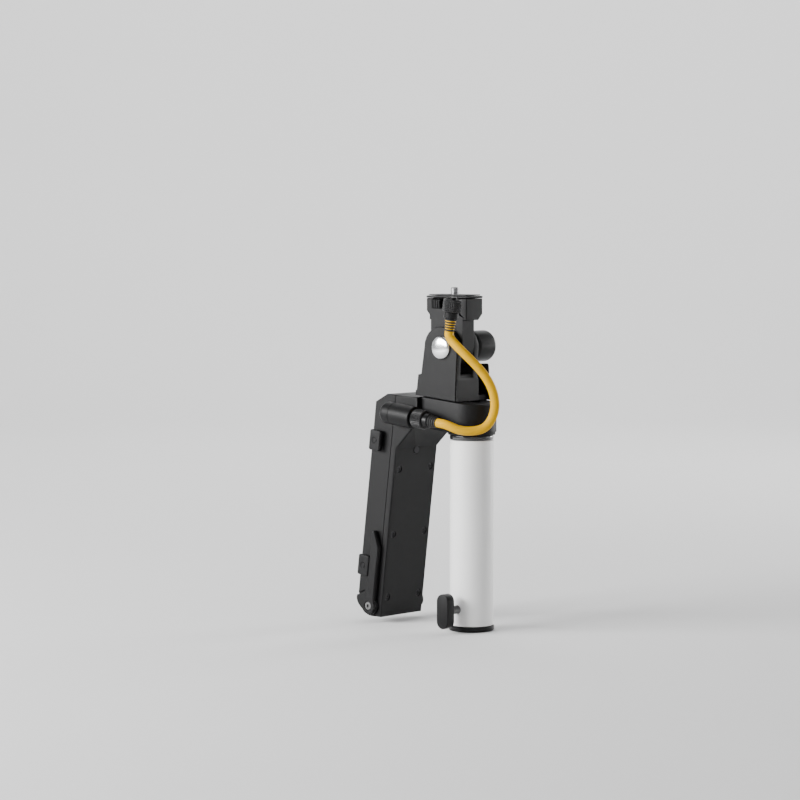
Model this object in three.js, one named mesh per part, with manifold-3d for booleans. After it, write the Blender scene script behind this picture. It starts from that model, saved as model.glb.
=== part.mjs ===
// Battery handle for a video light, in millimetres. +Z is up, +X is the way the light points and +Y its left.
// The origin is the middle of the lower face of the bottom collar, where the light stand goes in.
import * as THREE from 'three';
import { mergeVertices } from 'three/addons/utils/BufferGeometryUtils.js';
import Module from 'manifold-3d';

const wasm = await Module();
wasm.setup();

// Clearances and facets
const seat = 0.3;
const overrun = 1;
const hugeReach = 400;
const mergeDistance = 0.001;
const roundSides = 24;
const smallSides = 14;
const screwSides = 10;
const bevelSteps = 1;
const cornerSteps = 3;
const cornerShare = 0.49;
const eighthTurnDegrees = 45;

// Grip tube, its collar and the stand socket
const tubeRadius = 17;
const tubeWall = 2.3;
const tubeLength = 144;
const collarHeight = 4;
const collarLip = 0.7;
const collarEdge = 1.2;
const collarPlugHeight = 26;
const socketRadius = 8.1;
const socketWall = 3;
const socketDepth = 42;
const socketFloor = 3;
const socketInset = 0.6;
const socketChamfer = 0.8;
const ringHeight = 3.5;
const ringStep = 0.1;
const ringWall = 6;
const insertHeight = 28;
const insertRelief = 2;
const gripBoltRadius = 4;
const gripBoltHeadRadius = 6.5;
const gripBoltHeadHeight = 8;
const gripBoltHexRadius = 3.4;
const gripBoltHexDepth = 4;
const gripBoltSink = 8;

// Stand lock, a wing knob on a screw
const lockHeight = 17.5;
const lockScrewRadius = 3.1;
const lockScrewClearance = 0.4;
const wingStandoff = 9.4;
const wingThickness = 8;
const wingWidth = 11.6;
const wingHeight = 27;
const wingEdge = 0.5;
const wingSocketDepth = 5;
const wingHubRadius = 4.6;
const wingHubHeight = 1;

// Bridge arm from the grip to the battery case
const bridgeHalfWidth = 19.5;
const bridgeFront = 35;
const bridgeHeight = 25.8;
const bridgeRise = THREE.MathUtils.degToRad(5.1);
const bridgeEdge = 1.4;
const bridgeKeel = 3;
const bridgeKeelRise = THREE.MathUtils.degToRad(6.8);
const neckRadius = 18.4;
const neckHeight = 1.2;
const tongueHalfWidth = 13;
const tongueLength = 12;
const tongueHeight = 9;
const tongueLift = 9;

// Tilt base, its ears and the pivot
const baseLength = 41;
const baseFloor = 4;
const earThickness = 5.5;
const innerEarThickness = 6;
const earGap = 14.4;
const earRadius = 16;
const earStepHeight = 20;
const earStepDepth = 3.2;
const earShoulder = 2.3;
const earSlope = 2.2;
const earEdge = 0.7;
const pivotX = 14.1;
const pivotRise = 41.5;
const webThickness = 5;
const webRear = 1.6;
const webInset = 1;
const webHeight = 21;
const webBevel = 5;
const outerWallThickness = 2.2;
const outerWallRear = 3.2;
const outerWallLean = 2.1;
const outerWallSlope = 2;
const outerWallKnobGap = 0.7;
const tiltBoltRadius = 4;
const tiltBoltClearance = 0.3;
const tiltBoltHeadRadius = 6.6;
const tiltBoltHeadHeight = 2.8;
const capRadius = 9;
const capHeight = 3;
const capRim = 0.8;
const washerRadius = 9;
const washerThickness = 1.5;
const frictionWasherThickness = 0.8;
const frictionWasherRadius = 11;
const knobRadius = 12.2;
const knobLength = 24.4;
const knobEdge = 3.2;
const knobNeck = 1.2;
const knobNeckLength = 3.4;
const knobWall = 4;
const insertWall = 2.4;
const knobInsertLength = 12;
const baseScrewRadius = 1.6;
const baseScrewHeadRadius = 2.9;
const baseScrewHeadHeight = 1.5;
const baseScrewLength = 9;
const baseScrewRearX = 10;
const baseScrewFrontX = 30;

// Tilt head that carries the light
const headRear = 20.4;
const headFront = 20.9;
const headWidth = 19.2;
const headRise = 21.3;
const headHeight = 16.5;
const headFarChamfer = 5;
const headEdge = 0.6;
const headStepHeight = 7;
const headStepDepth = 3;
const tongueRadius = 16.4;
const shoePlateHeight = 1.7;
const shoePlateEdge = 0.5;
const padHeight = 0.8;
const padInset = 1.2;
const mountScrewRadius = 3.17;
const mountScrewReach = 5.5;
const mountScrewHeadRadius = 5.5;
const mountScrewHeadHeight = 2.2;
const sliderLength = 9;
const sliderHeight = 6.4;
const sliderDepth = 3;
const sliderPad = 1.9;
const sliderTravel = 4;
const sliderRearOffset = 5.2;
const sliderTop = 1;
const sliderRibs = 5;
const sliderRibHeight = 0.7;
const sliderRibShare = 0.5;

// Battery case, a rear shell and a front shell leaning with their foot forward
const caseLean = THREE.MathUtils.degToRad(7.1);
const caseHalfWidth = 24.5;
const caseDepth = 26.3;
const caseFootX = 74;
const caseFootZ = 5;
const caseWall = 2.2;
const caseEdge = 1;
const caseRearRise = 2.4;
const caseFrontRise = 3.9;
const caseTopSetback = 11.5;
const caseTopChamfer = 6.4;
const gussetDrop = 14.1;
const gussetReach = 3.1;
const gussetHeadRise = 3.9;
const footCutLength = 12;
const footCutHeight = 9.2;
const footRadius = 4;
const chinHeight = 15.7;
const chinReach = 2.3;
const chinFootReach = 0.5;
const chinRamp = 0.6;
const footSlotRear = 19.2;
const footSlotZ = 15.9;
const footSlotThickness = 2.4;
const footSlotDepth = 1.4;
const footSlotFall = THREE.MathUtils.degToRad(29.4);
const seamDepth = 5.3;
const screwPostRadius = 3;
const screwPostLength = 8;
const screwShankRadius = 1.4;
const screwHeadRadius = 2.5;
const screwHeadHeight = 1.3;
const screwLength = 12;
const screwInset = 6.5;
const screwHeightShares = [0.116, 0.491, 0.877];
const mainScrewDrop = 2.2;
const mainScrewRadius = 2;
const mainScrewHeadHeight = 1.6;
const mainScrewRecess = 3.1;
const mainScrewLength = 6;
const hangerHalfWidth = 10;
const hangerThickness = 2.2;
const hangerDrop = 13.5;
const hangerLength = 14;

// Battery plates on the front shell
const plateMiddleShare = 0.4992;
const plateOffsetShare = 0.2213;
const plateLengthShare = 0.3585;
const plateInset = 5.9;
const plateLip = 0.7;
const plateRecess = 0.8;
const plateFlange = 2;
const platformSide = 5.2;
const platformHeight = 2.4;
const platformInset = 6;
const tabReach = 2.4;
const tabThickness = 1.1;
const tabLength = 7;
const tabSpread = 17;
const contactBlockLength = 8;
const contactBlockHeight = 4.6;
const contactBlockInset = 3.4;
const bladeCount = 3;
const bladePitch = 6;
const bladeThickness = 1;
const bladeHeight = 2.6;
const bladeLength = 6;
const bladePocketDepth = 0.6;
const bladePocketMargin = 0.9;
const latchHalfWidth = 4;
const latchLength = 5;
const latchTooth = 2.2;
const latchStem = 6;
const latchFromMiddle = 10.7;

// Release buttons on the left side of the case
const buttonHalfDepth = 5.6;
const buttonHalfLength = 8.1;
const buttonProud = 5.5;
const buttonGap = 1.3;
const buttonX = 18.7;
const buttonEdge = 0.7;
const buttonCorner = 1.6;
const buttonStemHalfDepth = 4;
const buttonStemHalfLength = 5;
const buttonFlange = 1.2;
const buttonFlangeThickness = 1.4;
const buttonMarkRadius = 2;
const buttonMarkWidth = 0.5;
const buttonMarkDepth = 0.4;

// Side arms that swing on a pin through the foot of the case
const armPivotX = 10;
const armPivotZ = 7.6;
const armBossRadius = 7.3;
const armBossStep = 0.9;
const armBossTierShare = 0.6;
const armBossTeeth = 18;
const armBossTooth = 0.4;
const armRear = 4.9;
const armFront = 13.1;
const armTipZ = 68.3;
const armTipWidth = 2;
const armShoulderZ = 55.4;
const armThickness = 4.7;
const armEdge = 0.7;
const armPinRadius = 2.6;
const armPinClearance = 0.3;
const armScrewHeadRadius = 3.3;
const armScrewHeadHeight = 2.4;
const armScrewShankRadius = 1.5;
const armScrewLength = 9;
const armScrewHexRadius = 1.5;
const armScrewHexDepth = 1.4;

// Converter board inside the case
const boardX = 8.4;
const boardThickness = 1.6;
const boardFoot = 22;
const boardHeadroom = 11.5;
const coilShares = [0.25, 0.7];
const capacitorShares = [0.3, 0.45, 0.6];
const chipShares = [0.12, 0.5, 0.88];
const coilRadius = 5.5;
const coilHeight = 4.5;
const capacitorRadius = 3.2;
const capacitorHeight = 5.2;
const chipSize = 7;
const chipHeight = 1.4;

// Socket pod, the plugs and the lead
const podOverhang = 5.5;
const podStandoff = 8.5;
const podDrop = 12.86;
const podSlope = THREE.MathUtils.degToRad(6.2);
const podRadius = 8.6;
const podLength = 27;
const podDome = 6.2;
const podWebHeight = 12;
const podGroove = 0.4;
const podGrooveFromMouth = 20.9;
const socketCoreRadius = 5.2;
const socketCoreLength = 14;
const socketCoreReach = 6;
const socketBoreRadius = 3.1;
const nutRadius = 7.5;
const nutWall = 3.2;
const nutKnurls = 12;
const nutKnurlDepth = 0.5;
const nutEdge = 0.8;
const plugFlange = 1.5;
const plugCoreRadius = 4.4;
const plugBarrelRadius = 2.75;
const plugBarrelTip = 1.5;
const plugShellRadius = 5.6;
const reliefStartRadius = 5;
const reliefEndRadius = 4.1;
const reliefGroove = 0.8;
const reliefRibs = 4;
const lowerNutGap = 1;
const lowerNutLength = 10.5;
const lowerShellLength = 4.8;
const lowerReliefLength = 7.1;
const upperNutGap = 3.2;
const upperNutLength = 9.6;
const upperShellLength = 4.9;
const upperReliefLength = 9.2;
const upperPlugX = -6;
const upperPlugY = 28.2;
const upperPlugLean = THREE.MathUtils.degToRad(8.7);
const cableRadius = 3.5;
const cableSides = 10;
const cableStep = 14;

// Route of the lead from the lower plug to the upper one, hand-picked, its heights over the bridge's top
const cableRoute = [
  [5.6, 33, -15.5],
  [1.6, 33, -15.9],
  [-4.2, 31.9, -17],
  [-11.6, 27.8, -20.8],
  [-18.6, 21.5, -21.3],
  [-25, 14.4, -19.6],
  [-28.6, 10, -13],
  [-31.2, 8.4, -3.4],
  [-31.1, 10, 7],
  [-28.6, 13.6, 17.4],
  [-23.6, 19, 27],
  [-16.7, 23.8, 35.4],
  [-9.9, 26.6, 42.2],
  [-4.9, 27.2, 46.4],
  [-2.2, 27.9, 49.6],
  [-1.41, 28.2, 52.45],
  [-1.79, 28.2, 54.92],
];

// Lines that several pieces share
const collarRadius = tubeRadius + collarLip;
const tubeBore = tubeRadius - tubeWall;
const tubeBottom = collarHeight + seat;
const tubeTop = tubeBottom + tubeLength;
const ringBottom = tubeTop + seat;
const ringTop = ringBottom + ringHeight;
const neckBottom = ringTop + seat;
const bridgeBottom = neckBottom + neckHeight;
const bridgeTop = neckBottom + bridgeHeight;
const pivotZ = bridgeTop + pivotRise;
const nearEarOuter = bridgeHalfWidth;
const nearEarInner = nearEarOuter - earThickness;
const farEarInner = nearEarInner - earGap;
const farEarOuter = farEarInner - innerEarThickness;
const slotMiddle = (nearEarInner + farEarInner) / 2;
const headHigh = nearEarInner - seat;
const headLow = headHigh - headWidth;
const headCentre = (headHigh + headLow) / 2;
const headTop = pivotZ + headRise + headHeight;
const padTop = headTop + seat + shoePlateHeight + seat + padHeight;
const caseArmRear = bridgeFront + seat;
const caseTopRear = bridgeTop + caseRearRise;
const caseTopFront = bridgeTop + caseFrontRise;
const gussetFootZ = bridgeBottom - gussetDrop;
const gussetHeadX = caseArmRear + gussetReach;
const gussetHeadZ = bridgeBottom + gussetHeadRise;
const rearFaceLength = (gussetFootZ - caseFootZ) / Math.cos(caseLean);
const caseLength = (caseTopFront - caseFootZ) / Math.cos(caseLean);
const mainScrewZ = rearFaceLength - mainScrewDrop;
const screwSide = caseHalfWidth - screwInset;
const boardHalfWidth = screwSide - screwPostRadius - seat;
const plateHalfWidth = caseHalfWidth - plateInset;
const platformHalfWidth = plateHalfWidth - platformSide;
const plateMiddle = caseLength * plateMiddleShare;
const plateOffset = caseLength * plateOffsetShare;
const plateLength = caseLength * plateLengthShare;
const plateCentres = { upper: plateMiddle + plateOffset, lower: plateMiddle - plateOffset };
const outward = { upper: 1, lower: -1 };

function bridgeTopAt(x) {
  return bridgeTop + x * Math.tan(bridgeRise);
}

function rearFaceAt(z) {
  return caseFootX - (z - caseFootZ) * Math.tan(caseLean);
}

function frontFaceAt(z) {
  return rearFaceAt(z) + caseDepth / Math.cos(caseLean);
}

// Finishes, a fresh material for every mesh
const finishes = {
  moulded: { color: 0x2a2b2d, roughness: 0.62, metalness: 0 },
  satinBlack: { color: 0x1c1c1e, roughness: 0.38, metalness: 0 },
  rubber: { color: 0x1b1b1c, roughness: 0.85, metalness: 0 },
  whitePaint: { color: 0xe9e9e6, roughness: 0.42, metalness: 0.1 },
  glossRing: { color: 0x141414, roughness: 0.18, metalness: 0.3 },
  steel: { color: 0xa7a9ac, roughness: 0.35, metalness: 0.9 },
  darkSteel: { color: 0x35363a, roughness: 0.45, metalness: 0.8 },
  chrome: { color: 0xe4e6e8, roughness: 0.1, metalness: 1 },
  aluminium: { color: 0xb9bbbd, roughness: 0.4, metalness: 0.8 },
  brass: { color: 0xc09a4a, roughness: 0.35, metalness: 0.9 },
  gold: { color: 0xd8b25a, roughness: 0.3, metalness: 0.9 },
  board: { color: 0x1f5a3a, roughness: 0.55, metalness: 0 },
  yellowJacket: { color: 0xe5a81e, roughness: 0.5, metalness: 0 },
};

const handle = new THREE.Group();

function node(name, solid, finish, parent = handle) {
  const mesh = new THREE.Mesh(geometryOf(solid), new THREE.MeshStandardMaterial(finishes[finish]));
  mesh.name = name;
  parent.add(mesh);
  return mesh;
}

// Closed geometry to a solid and back
function solidOf(geometry) {
  const bare = geometry.clone();
  bare.deleteAttribute('normal');
  bare.deleteAttribute('uv');
  const merged = mergeVertices(bare, mergeDistance);
  const corners = merged.attributes.position.array;
  const faces = Uint32Array.from(merged.index.array);
  if (signedVolume(corners, faces) < 0) {
    for (let i = 0; i < faces.length; i += 3) {
      [faces[i], faces[i + 1]] = [faces[i + 1], faces[i]];
    }
  }
  const mesh = new wasm.Mesh({ numProp: 3, vertProperties: Float32Array.from(corners), triVerts: faces });
  mesh.merge();
  return new wasm.Manifold(mesh);
}

function signedVolume(corners, faces) {
  const [a, b, c] = [new THREE.Vector3(), new THREE.Vector3(), new THREE.Vector3()];
  let volume = 0;
  for (let i = 0; i < faces.length; i += 3) {
    a.fromArray(corners, faces[i] * 3);
    b.fromArray(corners, faces[i + 1] * 3);
    c.fromArray(corners, faces[i + 2] * 3);
    volume += a.dot(b.cross(c)) / 6;
  }
  return volume;
}

function geometryOf(solid) {
  const mesh = solid.getMesh();
  const geometry = new THREE.BufferGeometry();
  geometry.setAttribute('position', new THREE.BufferAttribute(Float32Array.from(mesh.vertProperties), 3));
  geometry.setIndex(new THREE.BufferAttribute(Uint32Array.from(mesh.triVerts), 1));
  geometry.computeVertexNormals();
  return geometry;
}

function join(first, ...others) {
  return others.reduce((sum, next) => sum.add(next), first);
}

function cut(first, ...cutters) {
  return cutters.reduce((rest, next) => rest.subtract(next), first);
}

// Outline of corners given as [across, up, corner radius]
function outline(corners) {
  const shape = new THREE.Shape();
  corners.forEach(([x, y, radius = 0], i) => {
    const [beforeX, beforeY] = corners[(i + corners.length - 1) % corners.length];
    const [afterX, afterY] = corners[(i + 1) % corners.length];
    const corner = new THREE.Vector2(x, y);
    const entry = towards(corner, new THREE.Vector2(beforeX, beforeY), radius);
    const leave = towards(corner, new THREE.Vector2(afterX, afterY), radius);
    if (i === 0) {
      shape.moveTo(entry.x, entry.y);
    } else {
      shape.lineTo(entry.x, entry.y);
    }
    if (radius > 0) {
      shape.quadraticCurveTo(x, y, leave.x, leave.y);
    }
  });
  shape.closePath();
  return shape;
}

// A corner is rounded over its tangent length, at most nearly half of the side
function towards(corner, neighbour, radius) {
  const side = neighbour.clone().sub(corner);
  const length = side.length();
  return corner.clone().addScaledVector(side, Math.min(radius, length * cornerShare) / length);
}

// Each side of a polygon moved in by one distance, for a polygon drawn clockwise or not
function inset(corners, distance) {
  const area = corners.reduce((sum, [x, y], i) => {
    const [nextX, nextY] = corners[(i + 1) % corners.length];
    return sum + x * nextY - nextX * y;
  }, 0);
  const turn = Math.sign(area);
  const sides = corners.map(([x, y], i) => {
    const [nextX, nextY] = corners[(i + 1) % corners.length];
    const along = new THREE.Vector2(nextX - x, nextY - y).normalize();
    const start = new THREE.Vector2(x - along.y * distance * turn, y + along.x * distance * turn);
    return { start, along };
  });
  return sides.map((side, i) => {
    const before = sides[(i + sides.length - 1) % sides.length];
    const gap = side.start.clone().sub(before.start);
    const reach = gap.cross(side.along) / before.along.cross(side.along);
    const corner = before.start.clone().addScaledVector(before.along, reach);
    return [corner.x, corner.y];
  });
}

// Round outline with pointed teeth
function toothed(radius, depth, teeth) {
  return new THREE.Shape(Array.from({ length: teeth * 2 }, (_, i) => {
    const angle = (i / teeth) * Math.PI;
    const reach = i % 2 ? radius - depth : radius;
    return new THREE.Vector2(reach * Math.cos(angle), reach * Math.sin(angle));
  }));
}

// Flat forms: an outline drawn in X and Z and thick in Y, or drawn in X and Y and thick in Z
function slabY(shape, low, high, edge = 0) {
  return solidOf(pressed(shape, high - low, edge).rotateX(Math.PI / 2).translate(0, high, 0));
}

function slabZ(shape, low, high, edge = 0) {
  return solidOf(pressed(shape, high - low, edge).translate(0, 0, low));
}

function pressed(shape, depth, edge) {
  return new THREE.ExtrudeGeometry(shape, {
    depth: depth - 2 * edge,
    curveSegments: cornerSteps,
    bevelEnabled: edge > 0,
    bevelThickness: edge,
    bevelSize: edge,
    bevelOffset: -edge,
    bevelSegments: bevelSteps,
  }).translate(0, 0, edge);
}

function block(lowX, highX, lowY, highY, lowZ, highZ) {
  const box = new THREE.BoxGeometry(highX - lowX, highY - lowY, highZ - lowZ);
  return solidOf(box.translate((lowX + highX) / 2, (lowY + highY) / 2, (lowZ + highZ) / 2));
}

// A block whose last two places may come in either order
function span(lowX, highX, lowY, highY, oneZ, otherZ) {
  return block(lowX, highX, lowY, highY, Math.min(oneZ, otherZ), Math.max(oneZ, otherZ));
}

// Turned forms: a profile of [radius, place along the axis], laid along X, Y or Z
function turned(profile, axis, sides = roundSides) {
  const lathe = new THREE.LatheGeometry(profile.map(([r, h]) => new THREE.Vector2(r, h)), sides);
  if (axis === 'x') {
    lathe.rotateZ(-Math.PI / 2);
  }
  if (axis === 'z') {
    lathe.rotateX(Math.PI / 2);
  }
  return solidOf(lathe);
}

function rod(radius, low, high, axis, sides = roundSides) {
  return turned([[0, low], [radius, low], [radius, high], [0, high]], axis, sides);
}

function pipe(inner, outer, low, high, axis, sides = roundSides) {
  return turned([[inner, low], [outer, low], [outer, high], [inner, high], [inner, low]], axis, sides);
}

function arcProfile(centreRadius, centreHeight, radius, height, from, to, steps) {
  return Array.from({ length: steps + 1 }, (_, i) => {
    const angle = from + ((to - from) * i) / steps;
    return [centreRadius + radius * Math.cos(angle), centreHeight + height * Math.sin(angle)];
  });
}

// Grip: collar, stand socket, tube and the ring under the bridge
function makeGrip() {
  const bushRadius = socketRadius + socketWall;
  const lockHole = lockScrewRadius + lockScrewClearance;
  const sideHole = rod(lockHole, 0, collarRadius + overrun, 'y', smallSides).translate([0, 0, lockHeight]);
  const edgeRadius = collarRadius - collarEdge;
  const lowerEdge = arcProfile(edgeRadius, collarEdge, collarEdge, collarEdge, -Math.PI / 2, 0, cornerSteps);
  const collar = turned([
    [bushRadius + seat, 0],
    ...lowerEdge,
    [collarRadius, collarHeight],
    [tubeBore - seat, collarHeight],
    [tubeBore - seat, collarHeight + collarPlugHeight],
    [bushRadius + seat, collarHeight + collarPlugHeight],
    [bushRadius + seat, 0],
  ], 'z');
  node('bottom_collar', cut(collar, sideHole), 'satinBlack');

  const bush = turned([
    [0, socketDepth],
    [socketRadius, socketDepth],
    [socketRadius, socketInset + socketChamfer],
    [socketRadius + socketChamfer, socketInset],
    [bushRadius, socketInset],
    [bushRadius, socketDepth + socketFloor],
    [0, socketDepth + socketFloor],
  ], 'z');
  node('stand_socket', cut(bush, sideHole), 'steel');

  const tube = pipe(tubeBore, tubeRadius, tubeBottom, tubeTop, 'z');
  node('grip_tube', cut(tube, sideHole), 'whitePaint');

  const ringRadius = tubeRadius - ringStep;
  node('top_ring', pipe(ringRadius - ringWall, ringRadius, ringBottom, ringTop, 'z'), 'glossRing');

  const thread = gripBoltRadius + seat;
  const insert = pipe(thread, tubeBore - seat, tubeTop - insertHeight, tubeTop, 'z', smallSides);
  node('tube_insert', insert, 'aluminium');

  const headSeat = neckBottom + gripBoltSink + seat;
  const headTop = headSeat + gripBoltHeadHeight;
  const bolt = turned([
    [0, tubeTop - insertHeight + insertRelief],
    [gripBoltRadius, tubeTop - insertHeight + insertRelief],
    [gripBoltRadius, headSeat],
    [gripBoltHeadRadius, headSeat],
    [gripBoltHeadRadius, headTop],
    [0, headTop],
  ], 'z', smallSides);
  const key = rod(gripBoltHexRadius, headTop - gripBoltHexDepth, headTop + overrun, 'z', 6);
  node('grip_bolt', cut(bolt, key), 'darkSteel');
}

// Stand lock: the screw runs through the tube and the collar to the stand's spigot
function makeStandLock() {
  const wingInner = tubeRadius + wingStandoff;
  const screwEnd = wingInner + wingSocketDepth - seat;
  const screw = rod(lockScrewRadius, socketRadius + seat, screwEnd, 'y', smallSides);
  node('stand_lock_screw', screw.translate([0, 0, lockHeight]), 'darkSteel');

  const half = wingWidth / 2;
  const straight = wingHeight / 2 - half;
  const stadium = new THREE.Shape();
  stadium.absarc(0, straight, half, 0, Math.PI, false);
  stadium.absarc(0, -straight, half, Math.PI, 2 * Math.PI, false);
  const paddle = slabY(stadium, wingInner, wingInner + wingThickness, wingEdge);
  const hub = rod(wingHubRadius, wingInner - wingHubHeight, wingInner + overrun, 'y', smallSides);
  const boreLow = wingInner - wingHubHeight - overrun;
  const bore = rod(lockScrewRadius + seat, boreLow, wingInner + wingSocketDepth, 'y', smallSides);
  node('stand_lock_knob', cut(join(paddle, hub), bore).translate([0, 0, lockHeight]), 'satinBlack');
}

// Bridge: a sloping bar with a round rear end, a neck for the tube and a tongue into the case
function makeBridge() {
  const plan = new THREE.Shape();
  plan.absarc(0, 0, bridgeHalfWidth, Math.PI / 2, (3 * Math.PI) / 2, false);
  plan.lineTo(bridgeFront, -bridgeHalfWidth);
  plan.lineTo(bridgeFront, bridgeHalfWidth);
  plan.closePath();
  const height = bridgeTop - bridgeBottom;
  const bar = pressed(plan, height, bridgeEdge);
  const place = bar.attributes.position;
  for (let i = 0; i < place.count; i += 1) {
    const rise = place.getZ(i) > height / 2 ? place.getX(i) * Math.tan(bridgeRise) : 0;
    place.setZ(i, place.getZ(i) + bridgeBottom + rise);
  }
  const farX = bridgeFront + tongueLength + overrun;
  const keel = outline([
    [bridgeKeel, bridgeBottom],
    [farX, bridgeBottom + (farX - bridgeKeel) * Math.tan(bridgeKeelRise)],
    [farX, bridgeBottom - overrun],
    [bridgeKeel, bridgeBottom - overrun],
  ]);
  const keelCut = slabY(keel, -bridgeHalfWidth - overrun, bridgeHalfWidth + overrun);
  const neck = rod(neckRadius, neckBottom, bridgeBottom + overrun, 'z');
  const tongueLow = bridgeBottom + tongueLift;
  const tongue = block(bridgeFront - overrun, bridgeFront + tongueLength, -tongueHalfWidth, tongueHalfWidth,
    tongueLow, tongueLow + tongueHeight);
  const boltHole = rod(gripBoltRadius + seat, neckBottom - overrun, hugeReach, 'z', smallSides);
  const counterbore = rod(gripBoltHeadRadius + seat, neckBottom + gripBoltSink, hugeReach, 'z', smallSides);
  const arm = cut(join(cut(solidOf(bar), keelCut), neck, tongue), boltHole, counterbore);
  node('bridge_arm', cut(arm, ...baseScrewPlaces().map(([x, y]) => {
    const top = bridgeTopAt(x);
    return rod(baseScrewRadius + seat, top - baseScrewLength, top + overrun, 'z', screwSides)
      .translate([x, y, 0]);
  })), 'moulded');
}

function baseScrewPlaces() {
  const farMiddle = (farEarOuter + outerWallThickness - bridgeHalfWidth) / 2;
  return [baseScrewRearX, baseScrewFrontX].flatMap((x) => [[x, slotMiddle], [x, farMiddle]]);
}

// Tilt base: two ears on a floor, joined by a web behind them, and a low outer wall under the knob
function makeTiltBase() {
  const stepZ = bridgeTop + earStepHeight;
  const frontAt = (z) => baseLength - ((z - bridgeTop) * earSlope) / earStepHeight;
  const shoulderX = pivotX + earShoulder;
  const ear = new THREE.Shape();
  ear.moveTo(0, bridgeTopAt(0) + seat);
  ear.lineTo(baseLength, bridgeTopAt(baseLength) + seat);
  ear.lineTo(frontAt(stepZ), stepZ);
  ear.lineTo(frontAt(stepZ) - earStepDepth, stepZ + earEdge);
  ear.lineTo(shoulderX + earRadius, pivotZ);
  ear.absarc(shoulderX, pivotZ, earRadius, 0, Math.PI / 2, false);
  ear.absarc(pivotX, pivotZ, earRadius, Math.PI / 2, Math.PI, false);
  ear.closePath();
  const floor = outline([
    [0, bridgeTopAt(0) + seat],
    [baseLength, bridgeTopAt(baseLength) + seat],
    [baseLength, bridgeTopAt(baseLength) + seat + baseFloor],
    [0, bridgeTopAt(0) + seat + baseFloor],
  ]);
  const web = outline([
    [-webRear, bridgeTopAt(-webRear) + seat],
    [webThickness - webRear, bridgeTopAt(webThickness) + seat],
    [webThickness - webRear, bridgeTop + webHeight],
    [webBevel / 2 - webRear, bridgeTop + webHeight],
    [-webRear, bridgeTop + webHeight - webBevel],
  ]);
  const wallTop = pivotZ - knobRadius - outerWallKnobGap;
  const wall = outline([
    [-outerWallRear, bridgeTopAt(-outerWallRear) + seat],
    [baseLength, bridgeTopAt(baseLength) + seat],
    [baseLength - earSlope - outerWallSlope, wallTop - outerWallSlope, outerWallSlope],
    [outerWallLean - outerWallRear, wallTop, outerWallSlope],
  ]);
  const body = join(
    slabY(ear, nearEarInner, nearEarOuter, earEdge),
    slabY(ear, farEarOuter, farEarInner, earEdge),
    slabY(floor, -bridgeHalfWidth, bridgeHalfWidth),
    slabY(web, farEarOuter, bridgeHalfWidth - webInset),
    slabY(wall, -bridgeHalfWidth, outerWallThickness - bridgeHalfWidth, earEdge),
  );
  const bore = rod(tiltBoltRadius + tiltBoltClearance, farEarOuter - overrun, nearEarOuter + overrun, 'y');
  const recessLow = nearEarOuter - tiltBoltHeadHeight - seat;
  const headRecess = rod(tiltBoltHeadRadius + seat, recessLow, nearEarOuter + overrun, 'y');
  const screwHoles = baseScrewPlaces().flatMap(([x, y]) => {
    const top = bridgeTopAt(x) + seat + baseFloor;
    return [
      rod(baseScrewRadius + seat, bridgeTop - overrun, top + overrun, 'z', screwSides).translate([x, y, 0]),
      rod(baseScrewHeadRadius + seat, top - baseScrewHeadHeight, top + baseFloor, 'z', screwSides)
        .translate([x, y, 0]),
    ];
  });
  const pivotHoles = join(bore, headRecess).translate([pivotX, 0, pivotZ]);
  node('tilt_base', cut(body, pivotHoles, ...screwHoles), 'moulded');

  baseScrewPlaces().forEach(([x, y], i) => {
    const head = bridgeTopAt(x) + 2 * seat + baseFloor - baseScrewHeadHeight;
    const screw = turned([
      [0, head - baseScrewLength],
      [baseScrewRadius, head - baseScrewLength],
      [baseScrewRadius, head],
      [baseScrewHeadRadius, head],
      [baseScrewHeadRadius, head + baseScrewHeadHeight],
      [0, head + baseScrewHeadHeight],
    ], 'z', screwSides);
    node(`base_screw_${i + 1}`, screw.translate([x, y, 0]), 'darkSteel');
  });
}

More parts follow.
